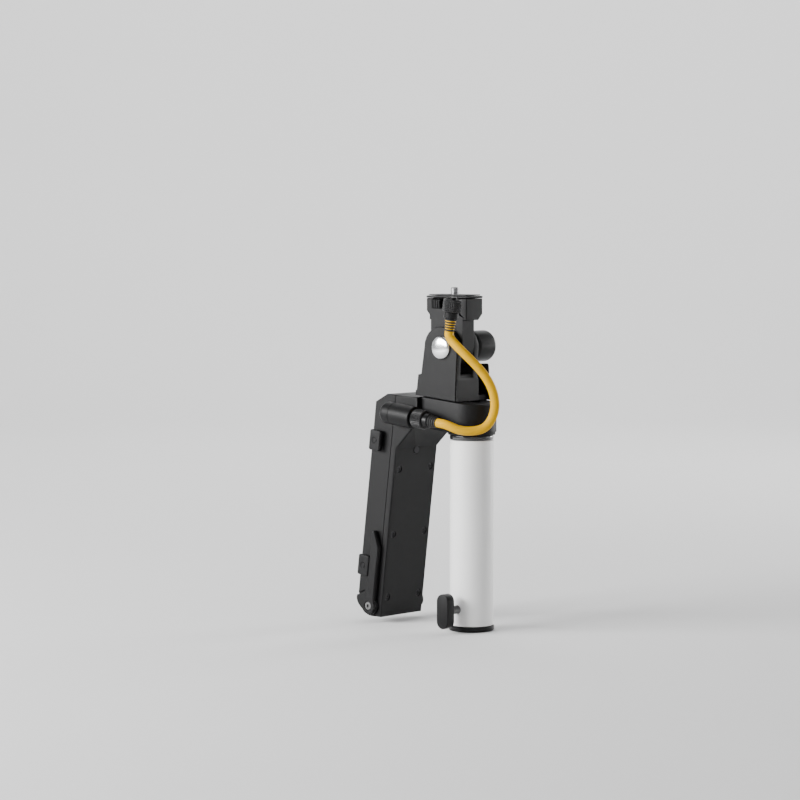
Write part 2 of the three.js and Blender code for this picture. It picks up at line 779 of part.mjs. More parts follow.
// Pivot: a bolt through both ears, a domed cap over its head, washers and the clamping knob
function makePivot() {
  const place = [pivotX, 0, pivotZ];
  const headInner = nearEarOuter - tiltBoltHeadHeight;
  const washerInner = farEarOuter - seat;
  const washerOuter = washerInner - washerThickness;
  const knobInner = washerOuter - seat;
  const knobOuter = knobInner - knobLength;
  const insertOuter = knobInner - knobNeckLength / 2 - knobInsertLength;
  const bolt = turned([
    [0, insertOuter + seat],
    [tiltBoltRadius, insertOuter + seat],
    [tiltBoltRadius, headInner],
    [tiltBoltHeadRadius, headInner],
    [tiltBoltHeadRadius, nearEarOuter],
    [0, nearEarOuter],
  ], 'y', smallSides).translate(place);
  node('tilt_bolt', bolt, 'darkSteel');

  const capInner = nearEarOuter + seat;
  const cap = turned([
    [0, capInner],
    [capRadius, capInner],
    [capRadius, capInner + capRim],
    ...arcProfile(0, capInner + capRim, capRadius, capHeight - capRim, 0, Math.PI / 2, 6).slice(1, -1),
    [0, capInner + capHeight],
  ], 'y');
  node('pivot_cap', cap.translate(place), 'chrome');

  const washerBore = tiltBoltRadius + tiltBoltClearance;
  const nearWasher = nearEarInner - seat;
  const farWasher = farEarInner + seat;
  Object.entries({ near: nearWasher - frictionWasherThickness, far: farWasher }).forEach(([name, low]) => {
    const ring = pipe(washerBore, frictionWasherRadius, low, low + frictionWasherThickness, 'y', smallSides);
    node(`friction_washer_${name}`, ring.translate(place), 'steel');
  });
  const clampWasher = pipe(washerBore, washerRadius, washerOuter, washerInner, 'y', smallSides);
  node('clamp_washer', clampWasher.translate(place), 'steel');

  const insertRadius = tiltBoltRadius + tiltBoltClearance + insertWall;
  const knobBody = turned([
    [0, knobInner],
    [knobRadius - knobNeck, knobInner],
    [knobRadius - knobNeck, knobInner - knobNeckLength],
    [knobRadius, knobInner - knobNeckLength - knobNeck],
    ...arcProfile(knobRadius - knobEdge, knobOuter + knobEdge, knobEdge, knobEdge, 0, -Math.PI / 2, 4),
    [0, knobOuter],
  ], 'y');
  const boltBore = rod(washerBore, insertOuter - knobWall / 2, knobInner + overrun, 'y', smallSides);
  const insertInner = insertOuter + knobInsertLength;
  const insertBore = rod(insertRadius + seat, insertOuter - seat, insertInner + seat, 'y', smallSides);
  node('tilt_knob', cut(knobBody, boltBore, insertBore).translate(place), 'satinBlack');
  const insert = pipe(washerBore, insertRadius, insertOuter, insertInner, 'y', smallSides);
  node('knob_insert', insert.translate(place), 'brass');
}

// Tilt head: a tongue between the ears under a block with the seat for the light
function makeTiltHead() {
  const headBottom = pivotZ + headRise;
  const rear = pivotX - headRear;
  const front = pivotX + headFront;
  const tongueShape = new THREE.Shape();
  tongueShape.absarc(pivotX, pivotZ, tongueRadius, Math.PI, 2 * Math.PI, false);
  tongueShape.lineTo(pivotX + tongueRadius, headBottom + headEdge + overrun);
  tongueShape.lineTo(pivotX - tongueRadius, headBottom + headEdge + overrun);
  tongueShape.closePath();
  const headShape = outline([
    [rear, headBottom],
    [front - headStepDepth, headBottom],
    [front - headStepDepth, headBottom + headStepHeight / 2],
    [front, headBottom + headStepHeight],
    [front, headTop],
    [rear, headTop],
  ]);
  const tongue = slabY(tongueShape, farEarInner + seat, nearEarInner - seat);
  const bore = rod(tiltBoltRadius + tiltBoltClearance, farEarInner, nearEarInner, 'y');
  const recess = frictionWasherThickness + seat;
  const washerPocket = frictionWasherRadius + seat;
  const nearPocket = rod(washerPocket, nearEarInner - seat - recess, nearEarInner + overrun, 'y');
  const farPocket = rod(washerPocket, farEarInner - overrun, farEarInner + seat + recess, 'y');
  const sliderRear = pivotX + sliderRearOffset;
  const sliderHigh = headTop - sliderTop;
  const sliderLow = sliderHigh - sliderHeight;
  const slot = block(sliderRear - sliderTravel - seat, sliderRear + sliderLength + seat,
    headHigh - sliderDepth - seat, headHigh + overrun, sliderLow - seat, sliderHigh + seat);
  const screwBore = rod(mountScrewRadius + seat, headBottom, headTop + overrun, 'z', smallSides);
  const screwSeat = headTop - mountScrewHeadHeight - seat;
  const screwHeadBore = rod(mountScrewHeadRadius + seat, screwSeat, headTop + overrun, 'z', smallSides);
  const half = headFarChamfer * Math.SQRT1_2;
  const farChamfer = block(rear - overrun, front + overrun, -half, half, -half, half)
    .rotate([eighthTurnDegrees, 0, 0]).translate([0, headLow, headBottom]);
  const headBlock = cut(slabY(headShape, headLow, headHigh, headEdge), slot, farChamfer);
  const pivotCuts = join(bore, nearPocket, farPocket).translate([pivotX, 0, pivotZ]);
  const screwCuts = join(screwBore, screwHeadBore).translate([pivotX, headCentre, 0]);
  node('tilt_head', cut(join(tongue, headBlock), pivotCuts, screwCuts), 'moulded');

  const plateBottom = headTop + seat;
  const plateTop = plateBottom + shoePlateHeight;
  const plateShape = outline([[rear, headLow], [front, headLow], [front, headHigh], [rear, headHigh]]);
  const screwHole = rod(mountScrewRadius + seat, headBottom, padTop + overrun, 'z', smallSides)
    .translate([pivotX, headCentre, 0]);
  node('shoe_plate', cut(slabZ(plateShape, plateBottom, plateTop, shoePlateEdge), screwHole), 'darkSteel');
  const padBottom = plateTop + seat;
  const padShape = outline([
    [rear + padInset, headLow + padInset, padInset],
    [front - padInset, headLow + padInset, padInset],
    [front - padInset, headHigh - padInset, padInset],
    [rear + padInset, headHigh - padInset, padInset],
  ]);
  node('shoe_pad', cut(slabZ(padShape, padBottom, padBottom + padHeight), screwHole), 'rubber');
  const screw = turned([
    [0, headTop - mountScrewHeadHeight],
    [mountScrewHeadRadius, headTop - mountScrewHeadHeight],
    [mountScrewHeadRadius, headTop],
    [mountScrewRadius, headTop],
    [mountScrewRadius, padTop + mountScrewReach],
    [0, padTop + mountScrewReach],
  ], 'z', smallSides);
  node('mount_screw', screw.translate([pivotX, headCentre, 0]), 'steel');

  const carriage = block(sliderRear, sliderRear + sliderLength, headHigh - sliderDepth, headHigh + sliderPad,
    sliderLow, sliderHigh);
  const pitch = sliderLength / sliderRibs;
  const ribs = Array.from({ length: sliderRibs }, (_, i) => {
    const low = sliderRear + (i + (1 - sliderRibShare) / 2) * pitch;
    return block(low, low + pitch * sliderRibShare, headHigh, headHigh + sliderPad + sliderRibHeight,
      sliderLow, sliderHigh);
  });
  node('latch_slider', join(carriage, ...ribs), 'moulded');
}

// Frame of the leaning case: X forward from its rear face, Z up along its length
const caseFrame = new THREE.Matrix4().makeRotationY(-caseLean).setPosition(caseFootX, 0, caseFootZ);
const caseGroup = new THREE.Group();
caseGroup.rotation.y = -caseLean;
caseGroup.position.set(caseFootX, 0, caseFootZ);
handle.add(caseGroup);

function inCase(solid) {
  return solid.transform(caseFrame.toArray());
}

// Shells of the case, one side outline split along a seam
function makeShells() {
  const topFrontZ = caseTopFront - caseTopChamfer;
  const footCutZ = caseFootZ + footCutHeight;
  const chinZ = caseFootZ + chinHeight;
  const corners = [
    [rearFaceAt(caseFootZ), caseFootZ],
    [frontFaceAt(caseFootZ) - footCutLength, caseFootZ, footRadius],
    [frontFaceAt(footCutZ) + chinFootReach, footCutZ, footRadius],
    [frontFaceAt(chinZ) + chinReach, chinZ],
    [frontFaceAt(chinZ + chinRamp), chinZ + chinRamp],
    [frontFaceAt(topFrontZ), topFrontZ],
    [frontFaceAt(caseTopFront) - caseTopSetback, caseTopFront],
    [caseArmRear, caseTopRear],
    [caseArmRear, gussetHeadZ],
    [gussetHeadX, gussetHeadZ],
    [rearFaceAt(gussetFootZ), gussetFootZ],
  ];
  const hollow = inset(corners, caseWall);
  corners.forEach(([, , radius], i) => hollow[i].push(radius ? radius - caseWall : 0));
  const inner = caseHalfWidth - caseWall;
  const outer = slabY(outline(corners), -caseHalfWidth, caseHalfWidth, caseEdge);
  const cavity = slabY(outline(hollow), -inner, inner);
  const far = hugeReach / 2;
  const ahead = block(seamDepth + seat / 2, far, -far, far, -far, far);
  const behind = block(-far, seamDepth - seat / 2, -far, far, -far, far);
  const tongueLow = bridgeBottom + tongueLift;
  const tongueSlot = block(caseArmRear - overrun, caseArmRear + caseWall + overrun, -tongueHalfWidth - seat,
    tongueHalfWidth + seat, tongueLow - seat, tongueLow + tongueHeight + seat);
  const screws = screwHeightShares.flatMap((share) => {
    const z = rearFaceLength * share;
    return [[screwSide, z], [-screwSide, z]];
  });
  const screwHoles = screws.flatMap(([y, z]) => [
    rod(screwShankRadius + seat, -overrun, seamDepth, 'x', screwSides).translate([0, y, z]),
    rod(screwHeadRadius + seat, -overrun, screwHeadHeight, 'x', screwSides).translate([0, y, z]),
  ]);
  const rearPost = rod(screwPostRadius, caseWall / 2, seamDepth - seat / 2, 'x', screwSides);
  const rearPosts = screws.map(([y, z]) => rearPost.translate([0, y, z]));
  const mainHole = rod(mainScrewRecess + seat, -overrun, caseWall + overrun, 'x', screwSides)
    .translate([0, 0, mainScrewZ]);
  const rear = join(cut(outer.intersect(inCase(behind)), cavity), inCase(join(...rearPosts)));
  node('rear_shell', cut(rear, tongueSlot, inCase(join(...screwHoles, mainHole))), 'moulded');

  const postStart = seamDepth + seat / 2;
  const posts = screws.flatMap(([y, z]) => {
    const side = Math.sign(y);
    const wall = side * (inner + caseWall / 2);
    return [
      rod(screwPostRadius, postStart, postStart + screwPostLength, 'x', screwSides).translate([0, y, z]),
      block(postStart, postStart + screwPostLength, Math.min(y, wall), Math.max(y, wall),
        z - screwPostRadius / 2, z + screwPostRadius / 2),
    ];
  });
  const pilot = rod(screwShankRadius + seat, seamDepth, screwLength + seat, 'x', screwSides);
  const pilots = screws.map(([y, z]) => pilot.translate([0, y, z]));
  const halfWindow = plateLength / 2 + seat;
  const windows = Object.values(plateCentres).map((z) => block(caseDepth - caseWall - overrun,
    caseDepth + overrun, -plateHalfWidth - seat, plateHalfWidth + seat, z - halfWindow, z + halfWindow));
  const stemHoles = Object.keys(plateCentres).map((end) => {
    const z = buttonZ(end);
    return block(buttonX - buttonStemHalfDepth - seat, buttonX + buttonStemHalfDepth + seat, inner - overrun,
      caseHalfWidth + overrun, z - buttonStemHalfLength - seat, z + buttonStemHalfLength + seat);
  });
  const pastWall = caseHalfWidth + overrun;
  const pinHole = rod(armPinRadius + armPinClearance, -pastWall, pastWall, 'y', screwSides)
    .translate([armPivotX, 0, armPivotZ]);
  const slotFront = caseDepth + chinReach + overrun;
  const slotFrontZ = footSlotZ - (slotFront - footSlotRear) * Math.tan(footSlotFall);
  const footSlot = slabY(outline([
    [footSlotRear, footSlotZ],
    [slotFront, slotFrontZ],
    [slotFront, slotFrontZ + footSlotThickness],
    [footSlotRear, footSlotZ + footSlotThickness],
  ]), caseHalfWidth - footSlotDepth, caseHalfWidth + overrun);
  const openings = [...windows, ...stemHoles, footSlot, footSlot.mirror([0, 1, 0])];
  const front = join(cut(outer.intersect(inCase(ahead)), cavity), inCase(join(...posts)));
  node('front_shell', cut(front, inCase(join(...pilots, ...openings, pinHole))), 'moulded');

  screws.forEach(([y, z], i) => {
    const screw = turned([
      [0, seat],
      [screwHeadRadius, seat],
      [screwHeadRadius, screwHeadHeight - seat],
      [screwShankRadius, screwHeadHeight - seat],
      [screwShankRadius, screwLength],
      [0, screwLength],
    ], 'x', screwSides);
    node(`case_screw_${i + 1}`, screw.translate([0, y, z]), 'darkSteel', caseGroup);
  });
}

function buttonZ(end) {
  return plateCentres[end] + outward[end] * latchFromMiddle;
}

// Hanger: a bent plate inside the rear shell that carries the case on the bridge's tongue
function makeHanger() {
  const lift = caseWall + seat;
  const far = lift + hangerThickness;
  const hangerFoot = gussetFootZ - hangerDrop;
  const path = [
    [rearFaceAt(hangerFoot), hangerFoot],
    [rearFaceAt(gussetFootZ), gussetFootZ],
    [gussetHeadX, gussetHeadZ],
    [caseArmRear, gussetHeadZ],
    [caseArmRear, caseTopRear],
    [caseArmRear + hangerLength, caseTopRear],
    [frontFaceAt(hangerFoot), caseTopRear],
    [frontFaceAt(hangerFoot), hangerFoot],
  ];
  const near = inset(path, lift);
  const deep = inset(path, far);
  const footZ = near[0][1];
  const strip = outline([
    [near[0][0], footZ],
    near[1],
    near[2],
    [near[3][0], near[2][1]],
    [deep[3][0] - hangerThickness, deep[2][1]],
    deep[2],
    deep[1],
    [deep[0][0], footZ],
  ]);
  const plate = slabY(strip, -hangerHalfWidth, hangerHalfWidth);
  const hole = rod(mainScrewRadius + seat, -overrun, far + overrun, 'x', screwSides)
    .translate([0, 0, mainScrewZ]);
  node('case_hanger', cut(plate, inCase(hole)), 'steel');

  const headSeat = caseWall - mainScrewHeadHeight;
  const screw = turned([
    [0, headSeat - mainScrewHeadHeight / 2],
    [mainScrewRecess, headSeat - mainScrewHeadHeight / 2],
    [mainScrewRecess, caseWall],
    [mainScrewRadius, caseWall],
    [mainScrewRadius, caseWall + mainScrewLength],
    [0, caseWall + mainScrewLength],
  ], 'x', screwSides);
  node('hanger_screw', screw.translate([0, 0, mainScrewZ]), 'darkSteel', caseGroup);
}

// Battery plates: each has a raised platform with tabs, a contact block, its blades and a latch
function makeBatteryPlate(end) {
  const z = plateCentres[end];
  const out = outward[end];
  const faceX = caseDepth - plateRecess;
  const behindWall = caseDepth - caseWall - seat;
  const backX = behindWall - plateFlange;
  const halfLength = plateLength / 2;
  const core = block(backX, faceX, -plateHalfWidth, plateHalfWidth, z - halfLength, z + halfLength);
  const lip = block(backX, behindWall, -plateHalfWidth - plateLip, plateHalfWidth + plateLip,
    z - halfLength - plateLip, z + halfLength + plateLip);
  const platformEnd = halfLength - platformInset;
  const topX = faceX + platformHeight;
  const platform = block(faceX - overrun, topX, -platformHalfWidth, platformHalfWidth,
    z - platformEnd, z + platformEnd);
  const tabs = [-tabSpread, tabSpread].map((shift) => block(topX - tabThickness, topX,
    -platformHalfWidth - tabReach, platformHalfWidth + tabReach,
    z + shift - tabLength / 2, z + shift + tabLength / 2));
  const blockOuter = z - out * platformEnd;
  const blockInner = blockOuter + out * contactBlockLength;
  const blockHalfWidth = platformHalfWidth - contactBlockInset;
  const contactBlock = span(topX - overrun, faceX + contactBlockHeight, -blockHalfWidth, blockHalfWidth,
    blockOuter, blockInner);
  const latchZ = buttonZ(end);
  const latchSlot = block(backX - overrun, topX + overrun, -latchHalfWidth - seat, latchHalfWidth + seat,
    latchZ - latchLength / 2 - seat, latchZ + latchLength / 2 + seat);
  const comb = (grow) => {
    const lowX = topX + seat - grow;
    const root = blockInner - (out * bladeLength) / 2;
    const blades = Array.from({ length: bladeCount }, (_, i) => {
      const y = (i - (bladeCount - 1) / 2) * bladePitch;
      const half = bladeThickness / 2 + grow;
      return span(lowX, lowX + bladeHeight + 2 * grow, y - half, y + half,
        root - out * grow, blockInner + out * (bladeLength + grow));
    });
    const halfWidth = ((bladeCount - 1) / 2) * bladePitch + grow;
    const strip = span(lowX, lowX + bladeThickness + 2 * grow, -halfWidth, halfWidth,
      root - out * grow, root + out * (bladeThickness + grow));
    return join(strip, ...blades);
  };
  const pocketHalfWidth = ((bladeCount - 1) / 2) * bladePitch + bladeThickness + bladePocketMargin;
  const pocket = span(topX - bladePocketDepth, topX + overrun, -pocketHalfWidth, pocketHalfWidth,
    blockInner, blockInner + out * (bladeLength + bladePocketMargin));
  const plate = cut(join(core, lip, platform, ...tabs, contactBlock), latchSlot, comb(seat), pocket);
  node(`battery_plate_${end}`, plate, 'satinBlack', caseGroup);
  node(`contact_comb_${end}`, comb(0), 'gold', caseGroup);

  const tooth = new THREE.Shape();
  const slope = out * latchLength;
  tooth.moveTo(backX - latchStem, latchZ - slope / 2);
  tooth.lineTo(topX, latchZ - slope / 2);
  tooth.lineTo(topX + latchTooth, latchZ + slope / 2);
  tooth.lineTo(backX - latchStem, latchZ + slope / 2);
  tooth.closePath();
  node(`battery_latch_${end}`, slabY(tooth, -latchHalfWidth, latchHalfWidth), 'satinBlack', caseGroup);
}

// Release buttons: a cap outside the wall, a stem through it and a flange inside
function makeButton(end) {
  const z = buttonZ(end);
  const inner = caseHalfWidth - caseWall;
  const capInner = caseHalfWidth + buttonGap;
  const capOuter = caseHalfWidth + buttonProud;
  const capShape = outline([
    [buttonX - buttonHalfDepth, z - buttonHalfLength, buttonCorner],
    [buttonX + buttonHalfDepth, z - buttonHalfLength, buttonCorner],
    [buttonX + buttonHalfDepth, z + buttonHalfLength, buttonCorner],
    [buttonX - buttonHalfDepth, z + buttonHalfLength, buttonCorner],
  ]);
  const cap = slabY(capShape, capInner, capOuter, buttonEdge);
  const flangeOuter = inner - seat;
  const flangeInner = flangeOuter - buttonFlangeThickness;
  const stem = block(buttonX - buttonStemHalfDepth, buttonX + buttonStemHalfDepth,
    flangeInner, capInner + overrun, z - buttonStemHalfLength, z + buttonStemHalfLength);
  const halfDepth = buttonStemHalfDepth + buttonFlange;
  const halfLength = buttonStemHalfLength + buttonFlange;
  const flange = block(buttonX - halfDepth, buttonX + halfDepth, flangeInner, flangeOuter,
    z - halfLength, z + halfLength);
  const mark = pipe(buttonMarkRadius, buttonMarkRadius + buttonMarkWidth, capOuter - buttonMarkDepth,
    capOuter + overrun, 'y', smallSides).translate([buttonX, 0, z]);
  node(`release_button_${end}`, cut(join(cap, stem, flange), mark), 'moulded', caseGroup);
}

// Side arms: a pointed bar on each side of the case, carried on one pin
function makeSideArm(side) {
  const inner = caseHalfWidth + seat;
  const outer = inner + armThickness;
  const bar = outline([
    [armRear, armPivotZ],
    [armFront, armPivotZ],
    [armFront, armTipZ - armTipWidth],
    [armFront - armTipWidth, armTipZ],
    [armRear, armShoulderZ],
  ]);
  const [low, high] = [Math.min(side * inner, side * outer), Math.max(side * inner, side * outer)];
  const tier = side * (inner + armThickness * armBossTierShare);
  const [tierLow, tierHigh] = [Math.min(side * inner, tier), Math.max(side * inner, tier)];
  const boss = join(
    slabY(toothed(armBossRadius, armBossTooth, armBossTeeth), tierLow, tierHigh),
    rod(armBossRadius - armBossStep, low, high, 'y'),
  );
  const head = side * (outer - armScrewHeadHeight);
  const past = side * (outer + overrun);
  const cuts = join(
    rod(armScrewHeadRadius + seat, Math.min(head, past), Math.max(head, past), 'y', smallSides),
    rod(armScrewShankRadius + seat, low - overrun, high + overrun, 'y', smallSides),
  );
  const place = [armPivotX, 0, armPivotZ];
  const arm = cut(join(slabY(bar, low, high, armEdge), boss.translate(place)), cuts.translate(place));
  node(side > 0 ? 'side_arm_left' : 'side_arm_right', arm, 'moulded', caseGroup);
}

function makeSideArms() {
  makeSideArm(1);
  makeSideArm(-1);
  const inner = caseHalfWidth;
  const pin = cut(
    rod(armPinRadius, -inner, inner, 'y', smallSides),
    rod(armScrewShankRadius + seat, inner - armScrewLength, inner + overrun, 'y', smallSides),
    rod(armScrewShankRadius + seat, -inner - overrun, armScrewLength - inner, 'y', smallSides),
  );
  node('arm_pin', pin.translate([armPivotX, 0, armPivotZ]), 'steel', caseGroup);

  const headOuter = caseHalfWidth + armThickness;
  const headInner = headOuter - armScrewHeadHeight + 2 * seat;
  const screw = turned([
    [0, inner - armScrewLength + seat],
    [armScrewShankRadius, inner - armScrewLength + seat],
    [armScrewShankRadius, headInner],
    [armScrewHeadRadius, headInner],
    [armScrewHeadRadius, headOuter],
    [0, headOuter],
  ], 'y', smallSides);
  const key = rod(armScrewHexRadius, headOuter - armScrewHexDepth, headOuter + overrun, 'y', 6);
  const left = cut(screw, key);
  Object.entries({ left, right: left.mirror([0, 1, 0]) }).forEach(([name, solid]) => {
    node(`arm_screw_${name}`, solid.translate([armPivotX, 0, armPivotZ]), 'darkSteel', caseGroup);
  });
}

// Converter board: steps the battery voltage to the light's
function makeBoard() {
  const top = boardX + boardThickness;
  const boardLength = rearFaceLength - boardFoot - boardHeadroom;
  const board = block(boardX, top, -boardHalfWidth, boardHalfWidth, boardFoot, boardFoot + boardLength);
  const coil = rod(coilRadius, top - seat, top + coilHeight, 'x', screwSides);
  const coils = coilShares.map((share) => coil
    .translate([0, -boardHalfWidth / 3, boardFoot + boardLength * share]));
  const capacitor = rod(capacitorRadius, top - seat, top + capacitorHeight, 'x', screwSides);
  const capacitors = capacitorShares.map((share) => capacitor
    .translate([0, boardHalfWidth / 2, boardFoot + boardLength * share]));
  const half = chipSize / 2;
  const chip = block(top - seat, top + chipHeight, -half, half, -half, half);
  const chips = chipShares.map((share) => chip.translate([0, 0, boardFoot + boardLength * share]));
  node('converter_board', join(board, ...coils, ...capacitors, ...chips), 'board', caseGroup);
}

// Socket pod on the left of the case: its own X runs along the plug, forward from its mouth
const podY = caseHalfWidth + podStandoff;
const podGroup = new THREE.Group();
podGroup.rotation.y = -podSlope;
podGroup.position.set(caseArmRear - podOverhang, podY, bridgeTop - podDrop);
handle.add(podGroup);

function makePod() {
  const dome = arcProfile(0, podLength, podRadius, podDome, 0, Math.PI / 2, 5);
  const shell = turned([
    [0, 0],
    [podRadius, 0],
    [podRadius, podGrooveFromMouth],
    [podRadius - podGroove, podGrooveFromMouth],
    [podRadius - podGroove, podGrooveFromMouth + podGroove],
    [podRadius, podGrooveFromMouth + podGroove],
    ...dome.slice(0, -1),
    [0, podLength + podDome],
  ], 'x');
  const wallY = caseHalfWidth + seat - podY;
  const webShape = outline([
    [podOverhang, -podWebHeight / 2],
    [podLength, -podWebHeight / 2, podWebHeight / 4],
    [podLength, podWebHeight / 2, podWebHeight / 4],
    [podOverhang, podWebHeight / 2],
  ]);
  const web = slabY(webShape, wallY, 0);
  const trim = block(-hugeReach, hugeReach, -hugeReach, wallY, -hugeReach, hugeReach);
  const bore = rod(socketCoreRadius + seat, -overrun, socketCoreLength + seat, 'x', smallSides);
  node('socket_pod', cut(join(shell, web), bore, trim), 'moulded', podGroup);

  const core = turned([
    [socketBoreRadius, -socketCoreReach],
    [socketCoreRadius, -socketCoreReach],
    [socketCoreRadius, socketCoreLength],
    [0, socketCoreLength],
    [0, socketCoreLength - nutWall],
    [socketBoreRadius, socketCoreLength - nutWall],
    [socketBoreRadius, -socketCoreReach],
  ], 'x', smallSides);
  node('dc_socket', core, 'darkSteel', podGroup);
}

// Plug: a knurled nut on a body, then a ribbed strain relief; X points into the socket
function makePlug(end, group, nutGap, nutLength, shellLength, reliefLength) {
  const nutFront = -nutGap;
  const nutBack = nutFront - nutLength;
  const bodyFront = -socketCoreReach - seat;
  const innerWall = nutBack + nutWall;
  const knurl = toothed(nutRadius, nutKnurlDepth, nutKnurls);
  const grip = solidOf(pressed(knurl, nutLength, 0).rotateY(Math.PI / 2).translate(nutBack, 0, 0));
  const chamfered = turned([
    [0, nutBack],
    [nutRadius - nutEdge, nutBack],
    [nutRadius, nutBack + nutEdge],
    [nutRadius, nutFront - nutEdge],
    [nutRadius - nutEdge, nutFront],
    [0, nutFront],
  ], 'x', nutKnurls * 2);
  const threadRadius = socketCoreRadius + seat;
  const nut = cut(grip.intersect(chamfered),
    rod(threadRadius, innerWall, nutFront + overrun, 'x', smallSides),
    rod(plugCoreRadius + seat, nutBack - overrun, innerWall + overrun, 'x', smallSides));
  node(`${end}_plug_nut`, nut, 'satinBlack', group);

  const shellFront = nutBack - seat;
  const shellBack = shellFront - shellLength;
  const flangeBack = Math.max(bodyFront - plugFlange, innerWall + seat);
  const body = turned([
    [0, shellBack],
    [plugShellRadius, shellBack],
    [plugShellRadius, shellFront],
    [plugCoreRadius, shellFront],
    [plugCoreRadius, flangeBack],
    [socketCoreRadius, flangeBack],
    [socketCoreRadius, bodyFront],
    [plugBarrelRadius, bodyFront],
    [plugBarrelRadius, -plugBarrelTip],
    [0, -plugBarrelTip],
  ], 'x', smallSides);
  node(`${end}_plug_body`, body, 'satinBlack', group);

  const reliefFront = shellBack - seat;
  const rib = reliefLength / (2 * reliefRibs + 1);
  const reliefBack = reliefFront - reliefLength;
  const taper = (reliefStartRadius - reliefEndRadius) / reliefLength;
  const radiusAt = (x) => reliefEndRadius + taper * (x - reliefBack);
  const profile = [[0, reliefBack]];
  for (let i = 0; i <= 2 * reliefRibs; i += 1) {
    const back = reliefBack + i * rib;
    const sink = i % 2 ? reliefGroove : 0;
    profile.push([radiusAt(back) - sink, back], [radiusAt(back + rib) - sink, back + rib]);
  }
  profile.push([0, reliefFront]);
  node(`${end}_strain_relief`, turned(profile, 'x', smallSides), 'rubber', group);
}

// Lead: a tube along the chosen route
function makeCable() {
  const points = cableRoute.map(([x, y, up]) => new THREE.Vector3(x, y, bridgeTop + up));
  const route = new THREE.CatmullRomCurve3(points);
  const section = new THREE.Shape();
  section.absarc(0, 0, cableRadius, 0, 2 * Math.PI, false);
  const steps = Math.round(route.getLength() / cableStep);
  const lead = new THREE.ExtrudeGeometry(section, {
    steps,
    curveSegments: cableSides,
    extrudePath: route,
  });
  node('dc_cable', solidOf(lead), 'yellowJacket');
}

makeGrip();
makeStandLock();
makeBridge();
makeTiltBase();
makePivot();
makeTiltHead();
makeShells();
makeHanger();
['upper', 'lower'].forEach(makeBatteryPlate);
['upper', 'lower'].forEach(makeButton);
makeSideArms();
makeBoard();
makePod();

makePlug('lower', podGroup, lowerNutGap, lowerNutLength, lowerShellLength, lowerReliefLength);

const upperPlugGroup = new THREE.Group();
upperPlugGroup.rotation.y = -Math.PI / 2 - upperPlugLean;
upperPlugGroup.position.set(upperPlugX, upperPlugY, padTop);
handle.add(upperPlugGroup);
makePlug('upper', upperPlugGroup, upperNutGap, upperNutLength, upperShellLength, upperReliefLength);
makeCable();

export default handle;
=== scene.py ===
"""Battery handle for a video light: a white grip, a battery case in front of it and a tilt head on top."""

import math

import bpy
from mathutils import Matrix, Vector


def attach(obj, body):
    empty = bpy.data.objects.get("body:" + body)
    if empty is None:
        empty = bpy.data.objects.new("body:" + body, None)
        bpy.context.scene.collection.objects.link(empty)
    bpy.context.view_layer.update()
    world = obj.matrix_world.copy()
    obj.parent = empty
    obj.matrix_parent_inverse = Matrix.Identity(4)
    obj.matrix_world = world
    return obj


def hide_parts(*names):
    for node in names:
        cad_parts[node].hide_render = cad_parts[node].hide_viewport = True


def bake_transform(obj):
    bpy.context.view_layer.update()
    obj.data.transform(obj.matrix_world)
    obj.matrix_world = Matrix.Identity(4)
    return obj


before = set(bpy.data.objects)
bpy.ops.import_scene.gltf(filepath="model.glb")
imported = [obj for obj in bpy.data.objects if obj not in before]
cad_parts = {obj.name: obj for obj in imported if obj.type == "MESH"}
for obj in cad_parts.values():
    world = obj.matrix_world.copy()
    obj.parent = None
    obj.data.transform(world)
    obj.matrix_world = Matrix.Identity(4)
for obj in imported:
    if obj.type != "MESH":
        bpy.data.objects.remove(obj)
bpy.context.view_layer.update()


# Camera: a long lens a little above the handle, looking down on it from its rear left corner.
# Its place and tilt put the tube, the case and the head where the photo has them.
camera_side = Vector((-0.656, 0.755, 0))
camera_distance = 2.07
camera_height = 0.3107
camera_down = math.radians(3.6426)
camera_left = math.radians(1.536)
lens = bpy.data.cameras.new("camera")
lens.lens = 120.66
lens.sensor_width = 36
lens.clip_start = 0.05
camera = bpy.data.objects.new("camera", lens)
bpy.context.scene.collection.objects.link(camera)
camera.location = camera_side * camera_distance + Vector((0, 0, camera_height))
looking = Matrix.Rotation(camera_left, 3, "Z") @ -camera_side
camera.rotation_euler = (looking - Vector((0, 0, math.tan(camera_down)))).to_track_quat("-Z", "Y").to_euler()
bpy.context.scene.camera = camera


# Studio: a bowl of pale paper under and round the handle, so that no edge of the floor shows.
# The main soft light stands to the camera's left, so the left side of the handle is the bright one.
class Channel:
    """One socket of a material's nodes, which adds, subtracts and multiplies as a number does."""

    def __init__(self, finish, socket):
        self.finish = finish
        self.socket = socket

    def joined(self, operation, first, second):
        return self.finish.node("ShaderNodeMath", {"operation": operation}, {0: first, 1: second})

    def __add__(self, other):
        return self.joined("ADD", self, other)

    def __sub__(self, other):
        return self.joined("SUBTRACT", self, other)

    def __rsub__(self, other):
        return self.joined("SUBTRACT", other, self)

    def __mul__(self, other):
        return self.joined("MULTIPLY", self, other)

    def __gt__(self, other):
        return self.joined("GREATER_THAN", self, other)

    __radd__ = __add__
    __rmul__ = __mul__


